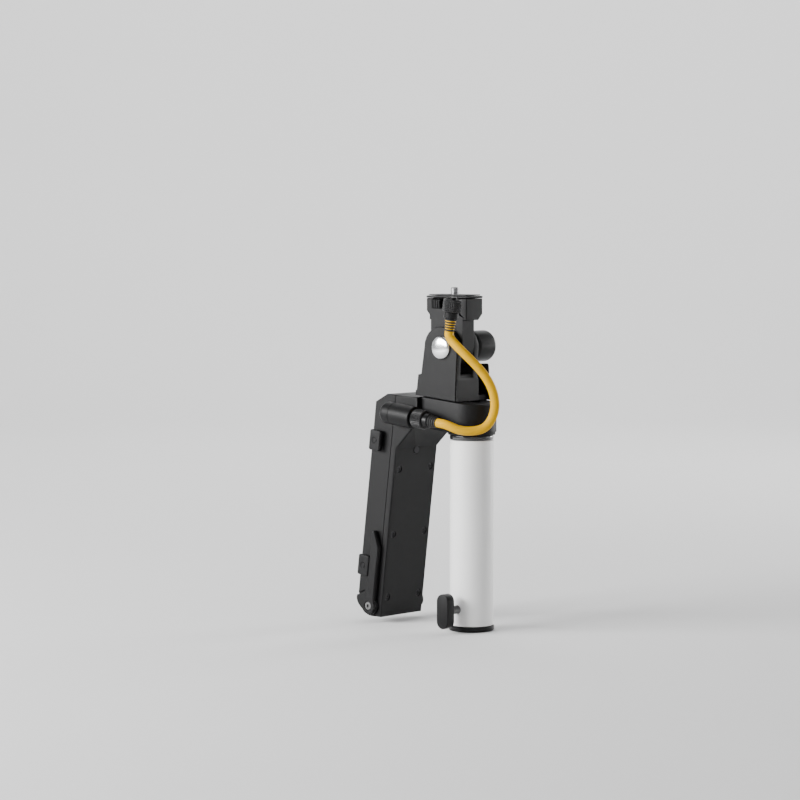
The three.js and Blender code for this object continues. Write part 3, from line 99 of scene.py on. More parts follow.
class Finish:
    """A material whose colour, roughness and relief come from procedural nodes."""

    def __init__(self, name):
        self.material = bpy.data.materials.new(name)
        self.material.use_nodes = True
        self.nodes = self.material.node_tree.nodes
        self.links = self.material.node_tree.links
        self.shader = self.nodes["Principled BSDF"]
        self.place = self.node("ShaderNodeTexCoord", {}, {}, "Object")

    def node(self, kind, settings, inputs, output=0):
        made = self.nodes.new(kind)
        for name, value in settings.items():
            setattr(made, name, value)
        for name, value in inputs.items():
            if isinstance(value, Channel):
                self.links.new(value.socket, made.inputs[name])
            else:
                made.inputs[name].default_value = value
        return Channel(self, made.outputs[output])

    def noise(self, scale, detail=3.0, roughness=0.55):
        values = {"Vector": self.place, "Scale": scale, "Detail": detail, "Roughness": roughness}
        return self.node("ShaderNodeTexNoise", {}, values)

    def mixed(self, mask, first, second):
        return self.node("ShaderNodeMix", {"data_type": "RGBA"}, {0: mask, 6: first, 7: second}, 2)

    def bumped(self, height, strength, distance):
        return self.node("ShaderNodeBump", {}, {"Height": height, "Strength": strength, "Distance": distance})

    def shade(self, **values):
        for name, value in values.items():
            socket = self.shader.inputs[name.replace("_", " ")]
            if isinstance(value, Channel):
                self.links.new(value.socket, socket)
            else:
                socket.default_value = value
        return self.material


def paper():
    finish = Finish("pale_paper")
    tone = finish.mixed(finish.noise(3.0), (0.745, 0.745, 0.745, 1), (0.765, 0.765, 0.765, 1))
    return finish.shade(Base_Color=tone, Roughness=0.95)


floor_radius = 2.3
wall_radius = 3.4
wall_height = 3.2
bend_steps = 8
bend = wall_radius - floor_radius
bend_angles = [math.pi / 2 * i / bend_steps for i in range(1, bend_steps + 1)]
curve = [(floor_radius + bend * math.sin(a), bend * (1 - math.cos(a))) for a in bend_angles]
bowl = [(floor_radius, 0)] + curve + [(wall_radius, wall_height)]
bpy.ops.object.select_all(action="DESELECT")
bpy.ops.mesh.primitive_circle_add(vertices=96, radius=floor_radius, fill_type="NGON", location=(0, 0, 0))
sweep = bpy.context.object
sweep.name = "paper_sweep"
bpy.ops.object.mode_set(mode="EDIT")
for (inner, lower), (outer, upper) in zip(bowl, bowl[1:]):
    bpy.ops.mesh.extrude_region_move(TRANSFORM_OT_translate={"value": (0, 0, upper - lower)})
    bpy.ops.transform.resize(value=(outer / inner, outer / inner, 1), center_override=(0, 0, upper))
bpy.ops.mesh.delete(type="ONLY_FACE")
bpy.ops.mesh.select_all(action="SELECT")
bpy.ops.mesh.normals_make_consistent(inside=True)
bpy.ops.object.mode_set(mode="OBJECT")
bpy.ops.object.shade_smooth()
sweep.data.materials.append(paper())

room = bpy.data.worlds.new("studio")
room.use_nodes = True
room.node_tree.nodes["Background"].inputs["Color"].default_value = (0.95, 0.97, 1.0, 1)
room.node_tree.nodes["Background"].inputs["Strength"].default_value = 0.13
bpy.context.scene.world = room


def soft_light(name, place, size, power, target=(0.02, 0, 0.14)):
    lamp = bpy.data.lights.new(name, "AREA")
    lamp.shape = "RECTANGLE"
    lamp.size, lamp.size_y = size
    lamp.energy = power
    light = bpy.data.objects.new(name, lamp)
    bpy.context.scene.collection.objects.link(light)
    light.location = place
    light.rotation_euler = (Vector(target) - Vector(place)).to_track_quat("-Z", "Y").to_euler()


soft_light("key_light", place=(0.86, 1.64, 0.7), size=(1.5, 0.6), power=94)
soft_light("side_light", place=(-0.35, -2.0, 0.5), size=(0.7, 0.9), power=26)
soft_light("strip_light", place=(-1.35, -1.5, 0.2), size=(0.9, 0.10), power=2.6, target=(0.02, 0, 0.22))
soft_light("top_light", place=(-0.1, 0.1, 1.9), size=(1.2, 1.2), power=5)
soft_light("paper_light", place=(1.0, -1.2, 2.2), size=(1.6, 1.0), power=60, target=(2.1, -2.3, 0.2))


# Bottom collar: a turned ring of black acetal pushed into the foot of the tube.
# Its lip stands a little proud of the tube all round, with a rounded lower edge.
def satin_black():
    finish = Finish("satin_black")
    tone = finish.mixed(finish.noise(60), (0.0045, 0.0045, 0.0048, 1), (0.0070, 0.0070, 0.0074, 1))
    sheen = finish.noise(180) * 0.12 + 0.28
    return finish.shade(Base_Color=tone, Roughness=sheen, Specular_IOR_Level=0.19,
                        Normal=finish.bumped(finish.noise(2600, 2.0), 0.12, 0.00008))


def chosen(piece):
    """Makes a piece the only one selected, and the active one."""
    bpy.ops.object.select_all(action="DESELECT")
    piece.select_set(True)
    bpy.context.view_layer.objects.active = piece


def turned(name, profile, sides=96, ring=False):
    """A turned form: a disc or a hoop grown along Z and widened at each station of its profile."""
    bpy.ops.object.select_all(action="DESELECT")
    radius, height = profile[0]
    bpy.ops.mesh.primitive_circle_add(vertices=sides, radius=radius, fill_type="NOTHING" if ring else "NGON",
                                      location=(0, 0, height))
    piece = bpy.context.object
    piece.name = name
    bpy.ops.object.mode_set(mode="EDIT")
    for wider, higher in profile[1:]:
        bpy.ops.mesh.extrude_region_move(TRANSFORM_OT_translate={"value": (0, 0, higher - height)})
        share = wider / radius
        bpy.ops.transform.resize(value=(share, share, 1), center_override=(0, 0, higher))
        radius, height = wider, higher
    bpy.ops.mesh.select_all(action="SELECT")
    bpy.ops.mesh.remove_doubles(threshold=1e-6)
    bpy.ops.mesh.normals_make_consistent(inside=False)
    bpy.ops.object.mode_set(mode="OBJECT")
    bpy.ops.object.transform_apply(location=True, rotation=False, scale=False)
    bpy.ops.object.shade_smooth_by_angle(angle=math.radians(32))
    return piece


def arc(middle, height, radius, start, end, steps=6, rise=None):
    """Stations round a quarter or less of a circle, or of an ellipse whose rise is given."""
    rise = radius if rise is None else rise
    angles = [math.radians(start + (end - start) * i / steps) for i in range(steps + 1)]
    return [(middle + radius * math.cos(a), height + rise * math.sin(a)) for a in angles]


def finished(piece, modifier, **settings):
    """Adds a modifier with its settings and applies it."""
    chosen(piece)
    added = piece.modifiers.new(modifier.lower(), modifier)
    for name, value in settings.items():
        setattr(added, name, value)
    bpy.ops.object.modifier_apply(modifier=added.name)
    return piece


def combined(piece, tool, operation):
    """Joins a tool to a piece or cuts it out, and takes the tool away."""
    finished(piece, "BOOLEAN", object=tool, operation=operation, solver="EXACT")
    bpy.data.objects.remove(tool)
    return piece


def drilled(piece, radius, start, end, sides=48):
    """A straight hole from start to end, round or with as many sides as given."""
    start, end = Vector(start), Vector(end)
    along = end - start
    bpy.ops.object.select_all(action="DESELECT")
    bpy.ops.mesh.primitive_cylinder_add(vertices=sides, radius=radius, depth=along.length,
                                        location=(start + end) / 2,
                                        rotation=along.to_track_quat("Z", "Y").to_euler())
    return combined(piece, bpy.context.object, "DIFFERENCE")


def dressed(piece, material, slot, body, *nodes):
    """Gives a piece its finish, the body it moves with and the CAD nodes it stands for."""
    piece.data.materials.clear()
    piece.data.materials.append(material)
    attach(piece, body)
    if nodes:
        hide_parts(*nodes)
    return piece


lock_height = 0.0175
lock_hole = 0.0035
lock_hole_start = (0, 0.005, lock_height)
lock_hole_end = (0, 0.02, lock_height)
collar_bore = 0.0114
collar_spigot = 0.0144
collar_top = 0.030
lip_radius = 0.0177
lip_round = 0.0012
lip_top = 0.004
lip_edge = 0.0004
black = satin_black()
collar = turned("collar_ring", [(collar_bore, 0)] + arc(lip_radius - lip_round, lip_round, lip_round, -90, 0)
                + [(lip_radius, lip_top - lip_edge), (lip_radius - lip_edge, lip_top), (collar_spigot, lip_top),
                   (collar_spigot, collar_top), (collar_bore, collar_top), (collar_bore, 0)], ring=True)
drilled(collar, lock_hole, lock_hole_start, lock_hole_end)
dressed(collar, black, "satin_black", "handle", "bottom_collar")


# Stand socket: a zinc plated steel bush inside the collar, bored for the light stand's spigot.
# Its mouth is countersunk, and the lock screw is threaded through its wall.
def plated(name, dark, light, roughness):
    finish = Finish(name)
    turning = finish.node("ShaderNodeTexWave", {"wave_type": "RINGS", "rings_direction": "Z"},
                          {"Vector": finish.place, "Scale": 900.0, "Distortion": 1.5, "Detail": 2.0})
    tone = finish.mixed(finish.noise(350), dark, light)
    spread = finish.noise(500) * 0.18 + roughness
    return finish.shade(Base_Color=tone, Metallic=1.0, Roughness=spread,
                        Normal=finish.bumped(turning, 0.08, 0.00004))


steel = plated("plated_steel", (0.42, 0.42, 0.43, 1), (0.56, 0.56, 0.57, 1), 0.24)
bush_bore = 0.0081
bush_radius = 0.0111
bush_foot = 0.0006
bush_top = 0.045
bush_edge = 0.0004
bush_countersink = 0.001
bush_thread = 0.0032
bush = turned("stand_bush", [
    (bush_bore, bush_foot + bush_countersink), (bush_bore + bush_countersink, bush_foot),
    (bush_radius - bush_edge, bush_foot), (bush_radius, bush_foot + bush_edge),
    (bush_radius, bush_top - bush_edge), (bush_radius - bush_edge, bush_top),
    (bush_bore, bush_top), (bush_bore, bush_foot + bush_countersink)], ring=True)
drilled(bush, bush_thread, lock_hole_start, lock_hole_end)
dressed(bush, steel, "steel", "handle", "stand_socket")


# Grip tube: drawn aluminium tube with a baked satin white paint, cut square with broken edges.
# It slides over the collar at its foot and over a turned aluminium insert at its top.
def white_paint():
    finish = Finish("white_paint")
    tone = finish.mixed(finish.noise(25), (0.76, 0.76, 0.755, 1), (0.80, 0.80, 0.79, 1))
    sheen = finish.noise(120) * 0.12 + 0.32
    return finish.shade(Base_Color=tone, Roughness=sheen, Coat_Weight=0.25, Coat_Roughness=0.25,
                        Normal=finish.bumped(finish.noise(900, 2.0), 0.06, 0.00012))


def painted(material, *nodes):
    """Gives CAD nodes that keep their own shape a better material."""
    for name in nodes:
        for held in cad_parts[name].material_slots:
            held.material = material


tube_foot = 0.0043
tube_top = 0.1483
tube_radius = 0.017
tube_bore = 0.0147
tube_edge = 0.0004
tube = turned("white_grip", [
    (tube_bore, tube_foot), (tube_radius - tube_edge, tube_foot), (tube_radius, tube_foot + tube_edge),
    (tube_radius, tube_top - tube_edge), (tube_radius - tube_edge, tube_top), (tube_bore, tube_top),
    (tube_bore, tube_foot)], sides=144, ring=True)
drilled(tube, lock_hole, lock_hole_start, lock_hole_end)
dressed(tube, white_paint(), "white_paint", "handle", "grip_tube")
aluminium = plated("turned_aluminium", (0.60, 0.61, 0.62, 1), (0.70, 0.70, 0.71, 1), 0.26)
painted(aluminium, "tube_insert")


# Top ring: a polished black ring between the tube and the bridge, with a rounded rim.
# The grip bolt runs down through it from the bridge into the insert, and clamps the three together.
def gloss_black():
    finish = Finish("gloss_black")
    tone = finish.mixed(finish.noise(80), (0.010, 0.010, 0.011, 1), (0.018, 0.018, 0.019, 1))
    return finish.shade(Base_Color=tone, Roughness=finish.noise(200) * 0.06 + 0.10, Coat_Weight=0.5)


ring_bore = 0.0109
ring_radius = 0.0169
ring_round = 0.0008
ring_foot = 0.1486
ring_top = 0.1521
top_ring = turned("top_ring_polished", [(ring_bore, ring_foot)]
                  + arc(ring_radius - ring_round, ring_foot + ring_round, ring_round, -90, 0)
                  + arc(ring_radius - ring_round, ring_top - ring_round, ring_round, 0, 90)
                  + [(ring_bore, ring_top), (ring_bore, ring_foot)], ring=True)
dressed(top_ring, gloss_black(), "gloss_ring", "handle", "top_ring")
dark_steel = plated("blackened_steel", (0.022, 0.022, 0.023, 1), (0.040, 0.040, 0.042, 1), 0.34)
painted(dark_steel, "grip_bolt")


# Stand lock: a blackened steel screw through tube and collar, with a moulded two winged knob on its end.
# A turn of the wings presses the screw on the stand's spigot; the screw feeds in as the knob turns.
def ridged(radius, sink, start, end, pitch):
    """Stations of a fine thread from start to end, its roots sunk below the radius."""
    turns = round((end - start) / pitch)
    step = (end - start) / turns
    stations = []
    for i in range(turns):
        low = start + i * step
        stations += [(radius - sink, low), (radius, low + step * 0.4), (radius, low + step * 0.6)]
    return stations + [(radius - sink, end)]


def laid(piece, turn=(0, 0, 0), place=(0, 0, 0)):
    """Turns and moves a piece, and leaves its place in its mesh."""
    chosen(piece)
    piece.rotation_euler = turn
    piece.location = place
    bpy.ops.object.transform_apply(location=True, rotation=True, scale=True)
    return piece


to_the_left = (math.radians(-90), 0, 0)
to_the_right = (math.radians(90), 0, 0)
point_radius = 0.0022
point_tip = 0.0084
thread_radius = 0.0031
thread_sink = 0.00035
thread_start = 0.0092
thread_end = 0.0252
thread_pitch = 0.0008
shank_radius = 0.0028
shank_start = 0.0254
shank_end = 0.0311
lock_screw = turned("stand_lock_thread", [(point_radius, point_tip)]
                    + ridged(thread_radius, thread_sink, thread_start, thread_end, thread_pitch)
                    + [(shank_radius, shank_start), (shank_radius, shank_end)], sides=40)
laid(lock_screw, to_the_left, (0, 0, lock_height))
burnished = plated("burnished_steel", (0.12, 0.12, 0.12, 1), (0.20, 0.20, 0.20, 1), 0.28)
dressed(lock_screw, burnished, "dark_steel", "lock_screw", "stand_lock_screw")

wing_inner = 0.0264
wing_outer = 0.0344
wing_radius = 0.0058
wing_reach = 0.0077
wing_edge = 0.0007
wing_socket = 0.0314
hub_radius = 0.0046
hub_inner = 0.0254
hub_edge = 0.0004
hub_sunk = 0.001
bpy.ops.object.select_all(action="DESELECT")
bpy.ops.mesh.primitive_cylinder_add(vertices=64, radius=wing_radius, depth=wing_outer - wing_inner,
                                    location=(0, 0, (wing_inner + wing_outer) / 2))
wing = bpy.context.object
wing.name = "wing_knob"
bpy.ops.object.transform_apply(location=True, rotation=False, scale=False)


def picked(piece, inside):
    """Opens a piece in edit mode with only the corners selected that pass a test."""
    chosen(piece)
    bpy.ops.object.mode_set(mode="EDIT")
    bpy.ops.mesh.select_mode(type="VERT")
    bpy.ops.mesh.select_all(action="DESELECT")
    bpy.ops.object.mode_set(mode="OBJECT")
    for corner in piece.data.vertices:
        corner.select = inside(corner.co)
    bpy.ops.object.mode_set(mode="EDIT")


for side in (1, -1):
    picked(wing, lambda at: at.y * side > 1e-6)
    bpy.ops.transform.translate(value=(0, wing_reach * side, 0))
    bpy.ops.object.mode_set(mode="OBJECT")
finished(wing, "BEVEL", width=wing_edge, segments=3, limit_method="ANGLE", angle_limit=math.radians(60))
hub = turned("wing_hub", [(hub_radius - hub_edge, hub_inner), (hub_radius, hub_inner + hub_edge),
                          (hub_radius, wing_inner + hub_sunk),
                          (hub_radius - hub_sunk, wing_inner + 2 * hub_sunk)], sides=64)
combined(wing, hub, "UNION")
laid(wing, to_the_left, (0, 0, lock_height))
drilled(wing, thread_radius, (0, hub_inner - hub_sunk, lock_height), (0, wing_socket, lock_height))
chosen(wing)
bpy.ops.object.shade_smooth_by_angle(angle=math.radians(50))
dressed(wing, black, "satin_black", "lock_knob", "stand_lock_knob")


# Bridge arm: a solid moulding in glass filled nylon with a fine spark eroded grain, rounded at the rear.
# The grip bolts on under its round end, and its tongue slides into the battery case.
def moulded_plastic():
    finish = Finish("moulded_black")
    tone = finish.mixed(finish.noise(45), (0.0045, 0.0045, 0.0048, 1), (0.0065, 0.0065, 0.0068, 1))
    sheen = finish.noise(220) * 0.12 + 0.42
    return finish.shade(Base_Color=tone, Roughness=sheen, Specular_IOR_Level=0.17,
                        Normal=finish.bumped(finish.noise(3200, 3.0), 0.3, 0.0001))


def moulding(name, node, edge=0.0003, rounds=2, sharp=60):
    """A copy of a CAD node with the corners broken as a mould breaks them."""
    piece = bpy.data.objects.new(name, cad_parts[node].data.copy())
    bpy.context.scene.collection.objects.link(piece)
    chosen(piece)
    bpy.ops.object.mode_set(mode="EDIT")
    bpy.ops.mesh.select_all(action="SELECT")
    bpy.ops.mesh.remove_doubles(threshold=2e-6)
    bpy.ops.mesh.dissolve_limited(angle_limit=math.radians(0.5))
    bpy.ops.mesh.normals_make_consistent(inside=False)
    bpy.ops.object.mode_set(mode="OBJECT")
    finished(piece, "BEVEL", width=edge, segments=rounds, limit_method="ANGLE",
             angle_limit=math.radians(sharp), use_clamp_overlap=False)
    bpy.ops.object.shade_smooth_by_angle(angle=math.radians(48))
    finished(piece, "WEIGHTED_NORMAL", keep_sharp=True)
    return piece


moulded = moulded_plastic()
bridge = moulding("bridge_moulding", "bridge_arm", edge=0.0004, rounds=3)
dressed(bridge, moulded, "moulded", "handle", "bridge_arm")


# Tilt base: two ears on a floor, moulded in one with the web behind them and the wall under the knob.
# Four countersunk steel screws hold its floor down on the bridge.
base = moulding("tilt_base_moulding", "tilt_base", edge=0.00035, rounds=3)
dressed(base, moulded, "moulded", "handle", "tilt_base")
painted(dark_steel, "base_screw_1", "base_screw_2", "base_screw_3", "base_screw_4")


# Tilt joint: a steel bolt through both ears, with a domed chrome cap pressed over its head.
# Friction washers sit beside the head's tongue, and a brass lined knob clamps from the far side.
def chromed():
    finish = Finish("satin_chrome")
    tone = finish.mixed(finish.noise(200), (0.70, 0.71, 0.72, 1), (0.80, 0.81, 0.82, 1))
    return finish.shade(Base_Color=tone, Metallic=1.0, Roughness=finish.noise(400) * 0.08 + 0.14)


pivot_x = 0.0141
pivot_z = 0.2197
cap_inner = 0.0198
cap_radius = 0.009
cap_rim = 0.0008
cap_edge = 0.0002
cap_shoulder = 0.0001
cap_rise = 0.0022
cap = turned("pivot_dome", [(cap_radius - cap_edge, 0), (cap_radius, cap_edge),
                            (cap_radius, cap_rim - cap_edge)]
             + arc(0, cap_rim, cap_radius - cap_shoulder, 4, 89, steps=16, rise=cap_rise), sides=128)
laid(cap, to_the_left, (pivot_x, cap_inner, pivot_z))
dressed(cap, chromed(), "chrome", "handle", "pivot_cap")
painted(steel, "friction_washer_near", "friction_washer_far")
painted(dark_steel, "tilt_bolt")

washer_inner = -0.0067
washer_bore = 0.0043
washer_radius = 0.009
washer_thickness = 0.0015
washer_die_edge = 0.0003
washer_burr_edge = 0.0002
washer = turned("clamp_washer_stamped", [
    (washer_bore, 0), (washer_radius - washer_die_edge, 0), (washer_radius, washer_die_edge),
    (washer_radius, washer_thickness - washer_burr_edge),
    (washer_radius - washer_burr_edge, washer_thickness), (washer_bore, washer_thickness),
    (washer_bore, 0)], sides=64, ring=True)
laid(washer, to_the_right, (pivot_x, washer_inner, pivot_z))
dressed(washer, steel, "steel", "knob_washer", "clamp_washer")

knob_inner = -0.0085
knob_length = 0.0244
knob_radius = 0.0122
knob_neck_radius = 0.011
knob_neck_length = 0.0034
knob_neck_edge = 0.0004
knob_step_length = 0.001
knob_step_edge = 0.0003
knob_shoulder = 0.0012
knob_end = 0.0032
knob_dish_radius = 0.0066
knob_dish_edge = 0.0006
knob_dish_sink = 0.0004
knob_dish_depth = 0.0007
knob_dish_middle = 0.0008
insert_radius = 0.007
insert_start = 0.0014
insert_end = 0.014
bolt_way = 0.0046
bolt_way_edge = 0.0003
knob_shoulder_start = knob_neck_length + knob_step_length
knob = turned("tilt_knob_turned", [
    (insert_radius, insert_end), (insert_radius, insert_start), (bolt_way, insert_start),
    (bolt_way, bolt_way_edge), (bolt_way + bolt_way_edge, 0), (knob_neck_radius - knob_neck_edge, 0),
    (knob_neck_radius, knob_neck_edge), (knob_neck_radius, knob_neck_length),
    (knob_radius - knob_step_edge, knob_shoulder_start)]
    + arc(knob_radius - knob_shoulder, knob_shoulder_start + knob_shoulder, knob_shoulder, -40, 0, steps=3)
    + arc(knob_radius - knob_end, knob_length - knob_end, knob_end, 0, 90, steps=10)
    + [(knob_dish_radius, knob_length), (knob_dish_radius - knob_dish_edge, knob_length - knob_dish_sink),
       (knob_dish_middle, knob_length - knob_dish_depth)], sides=128)
laid(knob, to_the_right, (pivot_x, knob_inner, pivot_z))
dressed(knob, black, "satin_black", "knob", "tilt_knob")
brass = plated("turned_brass", (0.50, 0.34, 0.12, 1), (0.62, 0.43, 0.17, 1), 0.22)
painted(brass, "knob_insert")


# Tilt head: a moulded block on a rounded tongue between the ears, with the latch slider in its side.
# Its lower corner on the far side is cut off at a slant, and the tongue turns on the pivot bolt.
head = moulding("head_moulding", "tilt_head", edge=0.00035, rounds=3)
dressed(head, moulded, "moulded", "head", "tilt_head")
slider = moulding("slider_moulding", "latch_slider", edge=0.00015)
dressed(slider, moulded, "moulded", "head_slider", "latch_slider")


# Shoe: a black painted steel plate on the head's top, with a thin rubber pad on it.
# The mount screw stands up through both, a quarter inch thread that the light screws down on.
def rubbery():
    finish = Finish("black_rubber")
    tone = finish.mixed(finish.noise(90), (0.012, 0.012, 0.0125, 1), (0.020, 0.020, 0.020, 1))
    return finish.shade(Base_Color=tone, Roughness=finish.noise(260) * 0.1 + 0.62,
                        Normal=finish.bumped(finish.noise(1800, 2.0), 0.3, 0.00015))


rubber = rubbery()
plate = moulding("shoe_plate_edged", "shoe_plate", edge=0.0002)
dressed(plate, black, "dark_steel", "head", "shoe_plate")
pad = moulding("shoe_pad_edged", "shoe_pad", edge=0.00012)
dressed(pad, rubber, "rubber", "head", "shoe_pad")
screw_axis_y = 0.0041
screw_head_radius = 0.0055
screw_foot = 0.2553
screw_head_top = 0.2575
screw_thread_start = 0.2585
screw_top = 0.2661
screw_radius = 0.00317
screw_sink = 0.0004
screw_pitch = 0.00127
screw_point = 0.0025
screw_chamfer = 0.0006
screw_thread_end = screw_top - screw_chamfer
mount_screw = turned("mount_thread", [(screw_head_radius, screw_foot), (screw_head_radius, screw_head_top),
                                      (screw_radius - screw_sink, screw_head_top)]
                     + ridged(screw_radius, screw_sink, screw_thread_start, screw_thread_end, screw_pitch)
                     + [(screw_point, screw_top)], sides=48)
laid(mount_screw, place=(pivot_x, screw_axis_y, 0))
dressed(mount_screw, steel, "steel", "head", "mount_screw")


# Battery case: a rear and a front shell in the same nylon, parted by a fine seam round the sides.
# Six cross head screws through the rear shell pull them together; a steel hanger holds the tongue.
for half in ("rear", "front"):
    shell = moulding(f"{half}_shell_moulding", f"{half}_shell")
    dressed(shell, moulded, "moulded", "handle", f"{half}_shell")
painted(steel, "case_hanger")
painted(dark_steel, "hanger_screw")

case_foot = Vector((0.074, 0, 0.005))
case_lean = math.radians(7.1)
case_screw_head = 0.0025
case_screw_depth = 0.001
case_screw_rim = 0.00065
case_screw_dome = 0.0004
case_screw_shank = 0.0014
case_screw_tip = 0.0013
case_screw_length = 0.012
case_screw_chamfer = 0.0004
case_screw_side = 0.018
case_screw_heights = (0.0157, 0.0665, 0.1189)
cross_width = 0.0006
cross_length = 0.0028
cross_depth = 0.0007
cross_height = -0.0003


def in_case(piece, place=(0, 0, 0)):
    """Moves a piece from the case's own frame, leaning with its foot forward, to the handle's."""
    return laid(piece, (0, -case_lean, 0), case_foot + Matrix.Rotation(-case_lean, 3, "Y") @ Vector(place))


def block(middle, size, turn=0.0):
    """A plain block, to be cut out of a piece or joined to it."""
    bpy.ops.object.select_all(action="DESELECT")
    bpy.ops.mesh.primitive_cube_add(size=1, location=middle, scale=size, rotation=(0, 0, turn))
    bpy.ops.object.transform_apply(location=True, rotation=True, scale=True)
    return bpy.context.object


def copied(name, piece):
    """A second piece with a mesh of its own."""
    twin = bpy.data.objects.new(name, piece.data.copy())
    bpy.context.scene.collection.objects.link(twin)
    return twin


first_screw = turned("case_screw", [
    (case_screw_tip, -case_screw_length), (case_screw_shank, case_screw_chamfer - case_screw_length),
    (case_screw_shank, -case_screw_depth), (case_screw_head, -case_screw_depth),
    (case_screw_head, -case_screw_rim)]
    + arc(0, -case_screw_rim, case_screw_head, 10, 80, steps=5, rise=case_screw_dome), sides=40)
for turn in (0, math.pi / 2):
    blade = block((0, 0, cross_height), (cross_width, cross_length, 2 * cross_depth), turn)
    combined(first_screw, blade, "DIFFERENCE")
laid(first_screw, (0, math.radians(-90), 0))
for i, height in enumerate(case_screw_heights):
    for j, side in enumerate((case_screw_side, -case_screw_side)):
        number = 2 * i + j + 1
        screw = copied(f"case_cross_screw_{number}", first_screw)
        in_case(screw, (0, side, height))
        dressed(screw, dark_steel, "dark_steel", "handle", f"case_screw_{number}")
bpy.data.objects.remove(first_screw)


# Converter board: a green circuit board on the rear posts with coils, capacitors and chips.
# It steps the batteries' voltage to the light's, and only shows through the gaps of the case.
def solder_mask():
    finish = Finish("solder_mask")
    tracks = finish.node("ShaderNodeTexVoronoi", {"feature": "DISTANCE_TO_EDGE"},
                         {"Vector": finish.place, "Scale": 420.0}) > 0.08
    tone = finish.mixed(tracks, (0.05, 0.19, 0.07, 1), (0.012, 0.075, 0.035, 1))
    return finish.shade(Base_Color=tone, Roughness=finish.noise(300) * 0.15 + 0.3)


painted(solder_mask(), "converter_board")


# Battery plates: two recessed plates in the front shell, one above the other, each for one battery.
# Every plate has tabs that hold the battery, a comb of gold plated contacts and a spring latch.
gold = plated("gold_contacts", (0.72, 0.50, 0.17, 1), (0.80, 0.58, 0.24, 1), 0.18)
for end in ("upper", "lower"):
    plate = moulding(f"{end}_plate_moulding", f"battery_plate_{end}", edge=0.00025)
    dressed(plate, moulded, "moulded", "handle", f"battery_plate_{end}")
for end in ("upper", "lower"):
    latch = moulding(f"{end}_latch_moulding", f"battery_latch_{end}", edge=0.0002, sharp=40)
    dressed(latch, black, "satin_black", f"latch_{end}", f"battery_latch_{end}")
    painted(gold, f"contact_comb_{end}")


# Release buttons: a moulded button for each latch in the left side of the case, with a ring mark.
# Each is held by a flange behind the wall and springs back when it is let go.
for end in ("upper", "lower"):
    button = moulding(f"{end}_button_moulding", f"release_button_{end}", rounds=3)
    dressed(button, moulded, "moulded", f"button_{end}", f"release_button_{end}")


# Side arms: a pair of moulded arms on one steel pin through the foot of the case.
# A socket head screw holds each toothed boss on its end of the pin, so both arms swing as one.
for side in ("left", "right"):
    arm = moulding(f"{side}_arm_moulding", f"side_arm_{side}", rounds=3)
    dressed(arm, moulded, "moulded", "side_arms", f"side_arm_{side}")
painted(steel, "arm_pin")

arm_pivot = Vector((0.010, 0, 0.0076))
arm_screw_tip = 0.0013
arm_screw_shank = 0.0015
arm_screw_end = 0.0158
arm_screw_chamfer = 0.0002
arm_head_radius = 0.0033
arm_head_depth = 0.0018
arm_head_outer = 0.0292
arm_head_inner = arm_head_outer - arm_head_depth
arm_head_edge = 0.0003
hexagon_radius = 0.0015
hexagon_depth = 0.0014
left_screw = turned("arm_cap_screw", [(arm_screw_tip, arm_screw_end),
                                      (arm_screw_shank, arm_screw_end + arm_screw_chamfer),
                                      (arm_screw_shank, arm_head_inner), (arm_head_radius, arm_head_inner),
                                      (arm_head_radius, arm_head_outer - arm_head_edge),
                                      (arm_head_radius - arm_head_edge, arm_head_outer)], sides=48)
drilled(left_screw, hexagon_radius, (0, 0, arm_head_outer - hexagon_depth), (0, 0, arm_head_outer + 0.001), 6)
chosen(left_screw)
bpy.ops.object.shade_smooth_by_angle(angle=math.radians(32))
right_screw = copied("right_arm_cap_screw", left_screw)
for side, screw, turn in (("left", left_screw, to_the_left), ("right", right_screw, to_the_right)):
    laid(screw, turn)
    in_case(screw, arm_pivot)
    dressed(screw, burnished, "dark_steel", "side_arms", f"arm_screw_{side}")


# Socket pod: a domed barrel moulded on a web at the left of the case, open at its rear end.
# The steel shelled power socket is pressed into it, and a fine groove runs round before the dome.
def trimmed(piece, at, outward):
    """Cuts off what lies on the outward side of a plane, and closes the cut."""
    chosen(piece)
    bpy.ops.object.mode_set(mode="EDIT")
    bpy.ops.mesh.select_all(action="SELECT")
    bpy.ops.mesh.remove_doubles(threshold=2e-6)
    bpy.ops.mesh.bisect(plane_co=at, plane_no=outward, use_fill=True, clear_outer=True)
    bpy.ops.object.mode_set(mode="OBJECT")
    piece.data.validate()
    return piece


pod_mouth = (0.0298, 0.033, 0.16534)
pod_turn = (0, math.radians(83.8), 0)
pod_radius = 0.0086
pod_bore = 0.0055
pod_bore_depth = 0.0143
pod_bore_edge = 0.0003
pod_edge = 0.0006
pod_groove = 0.0209
pod_groove_width = 0.0004
pod_groove_sink = 0.0004
pod_groove_slope = 0.0001
pod_length = 0.027
pod_dome = 0.0062
pod_wall = -0.0082
web_height = 0.012
web_start = 0.0055
web_edge = 0.0008
pod = turned("pod_barrel", [(pod_bore, pod_bore_depth), (pod_bore, pod_bore_edge),
                            (pod_bore + pod_bore_edge, 0)]
             + arc(pod_radius - pod_edge, pod_edge, pod_edge, -90, 0, steps=4)
             + [(pod_radius, pod_groove), (pod_radius - pod_groove_sink, pod_groove + pod_groove_slope),
                (pod_radius - pod_groove_sink, pod_groove + pod_groove_width - pod_groove_slope),
                (pod_radius, pod_groove + pod_groove_width)]
             + arc(0, pod_length, pod_radius, 0, 87, steps=14, rise=pod_dome), sides=128)
web = block((0, pod_wall / 2, (web_start + pod_length) / 2), (web_height, -pod_wall, pod_length - web_start))
finished(web, "BEVEL", width=web_edge, segments=3, limit_method="ANGLE", angle_limit=math.radians(60))
combined(pod, web, "UNION")
trimmed(pod, (0, pod_wall, 0), (0, -1, 0))
chosen(pod)
bpy.ops.object.shade_smooth_by_angle(angle=math.radians(32))
laid(pod, pod_turn, pod_mouth)
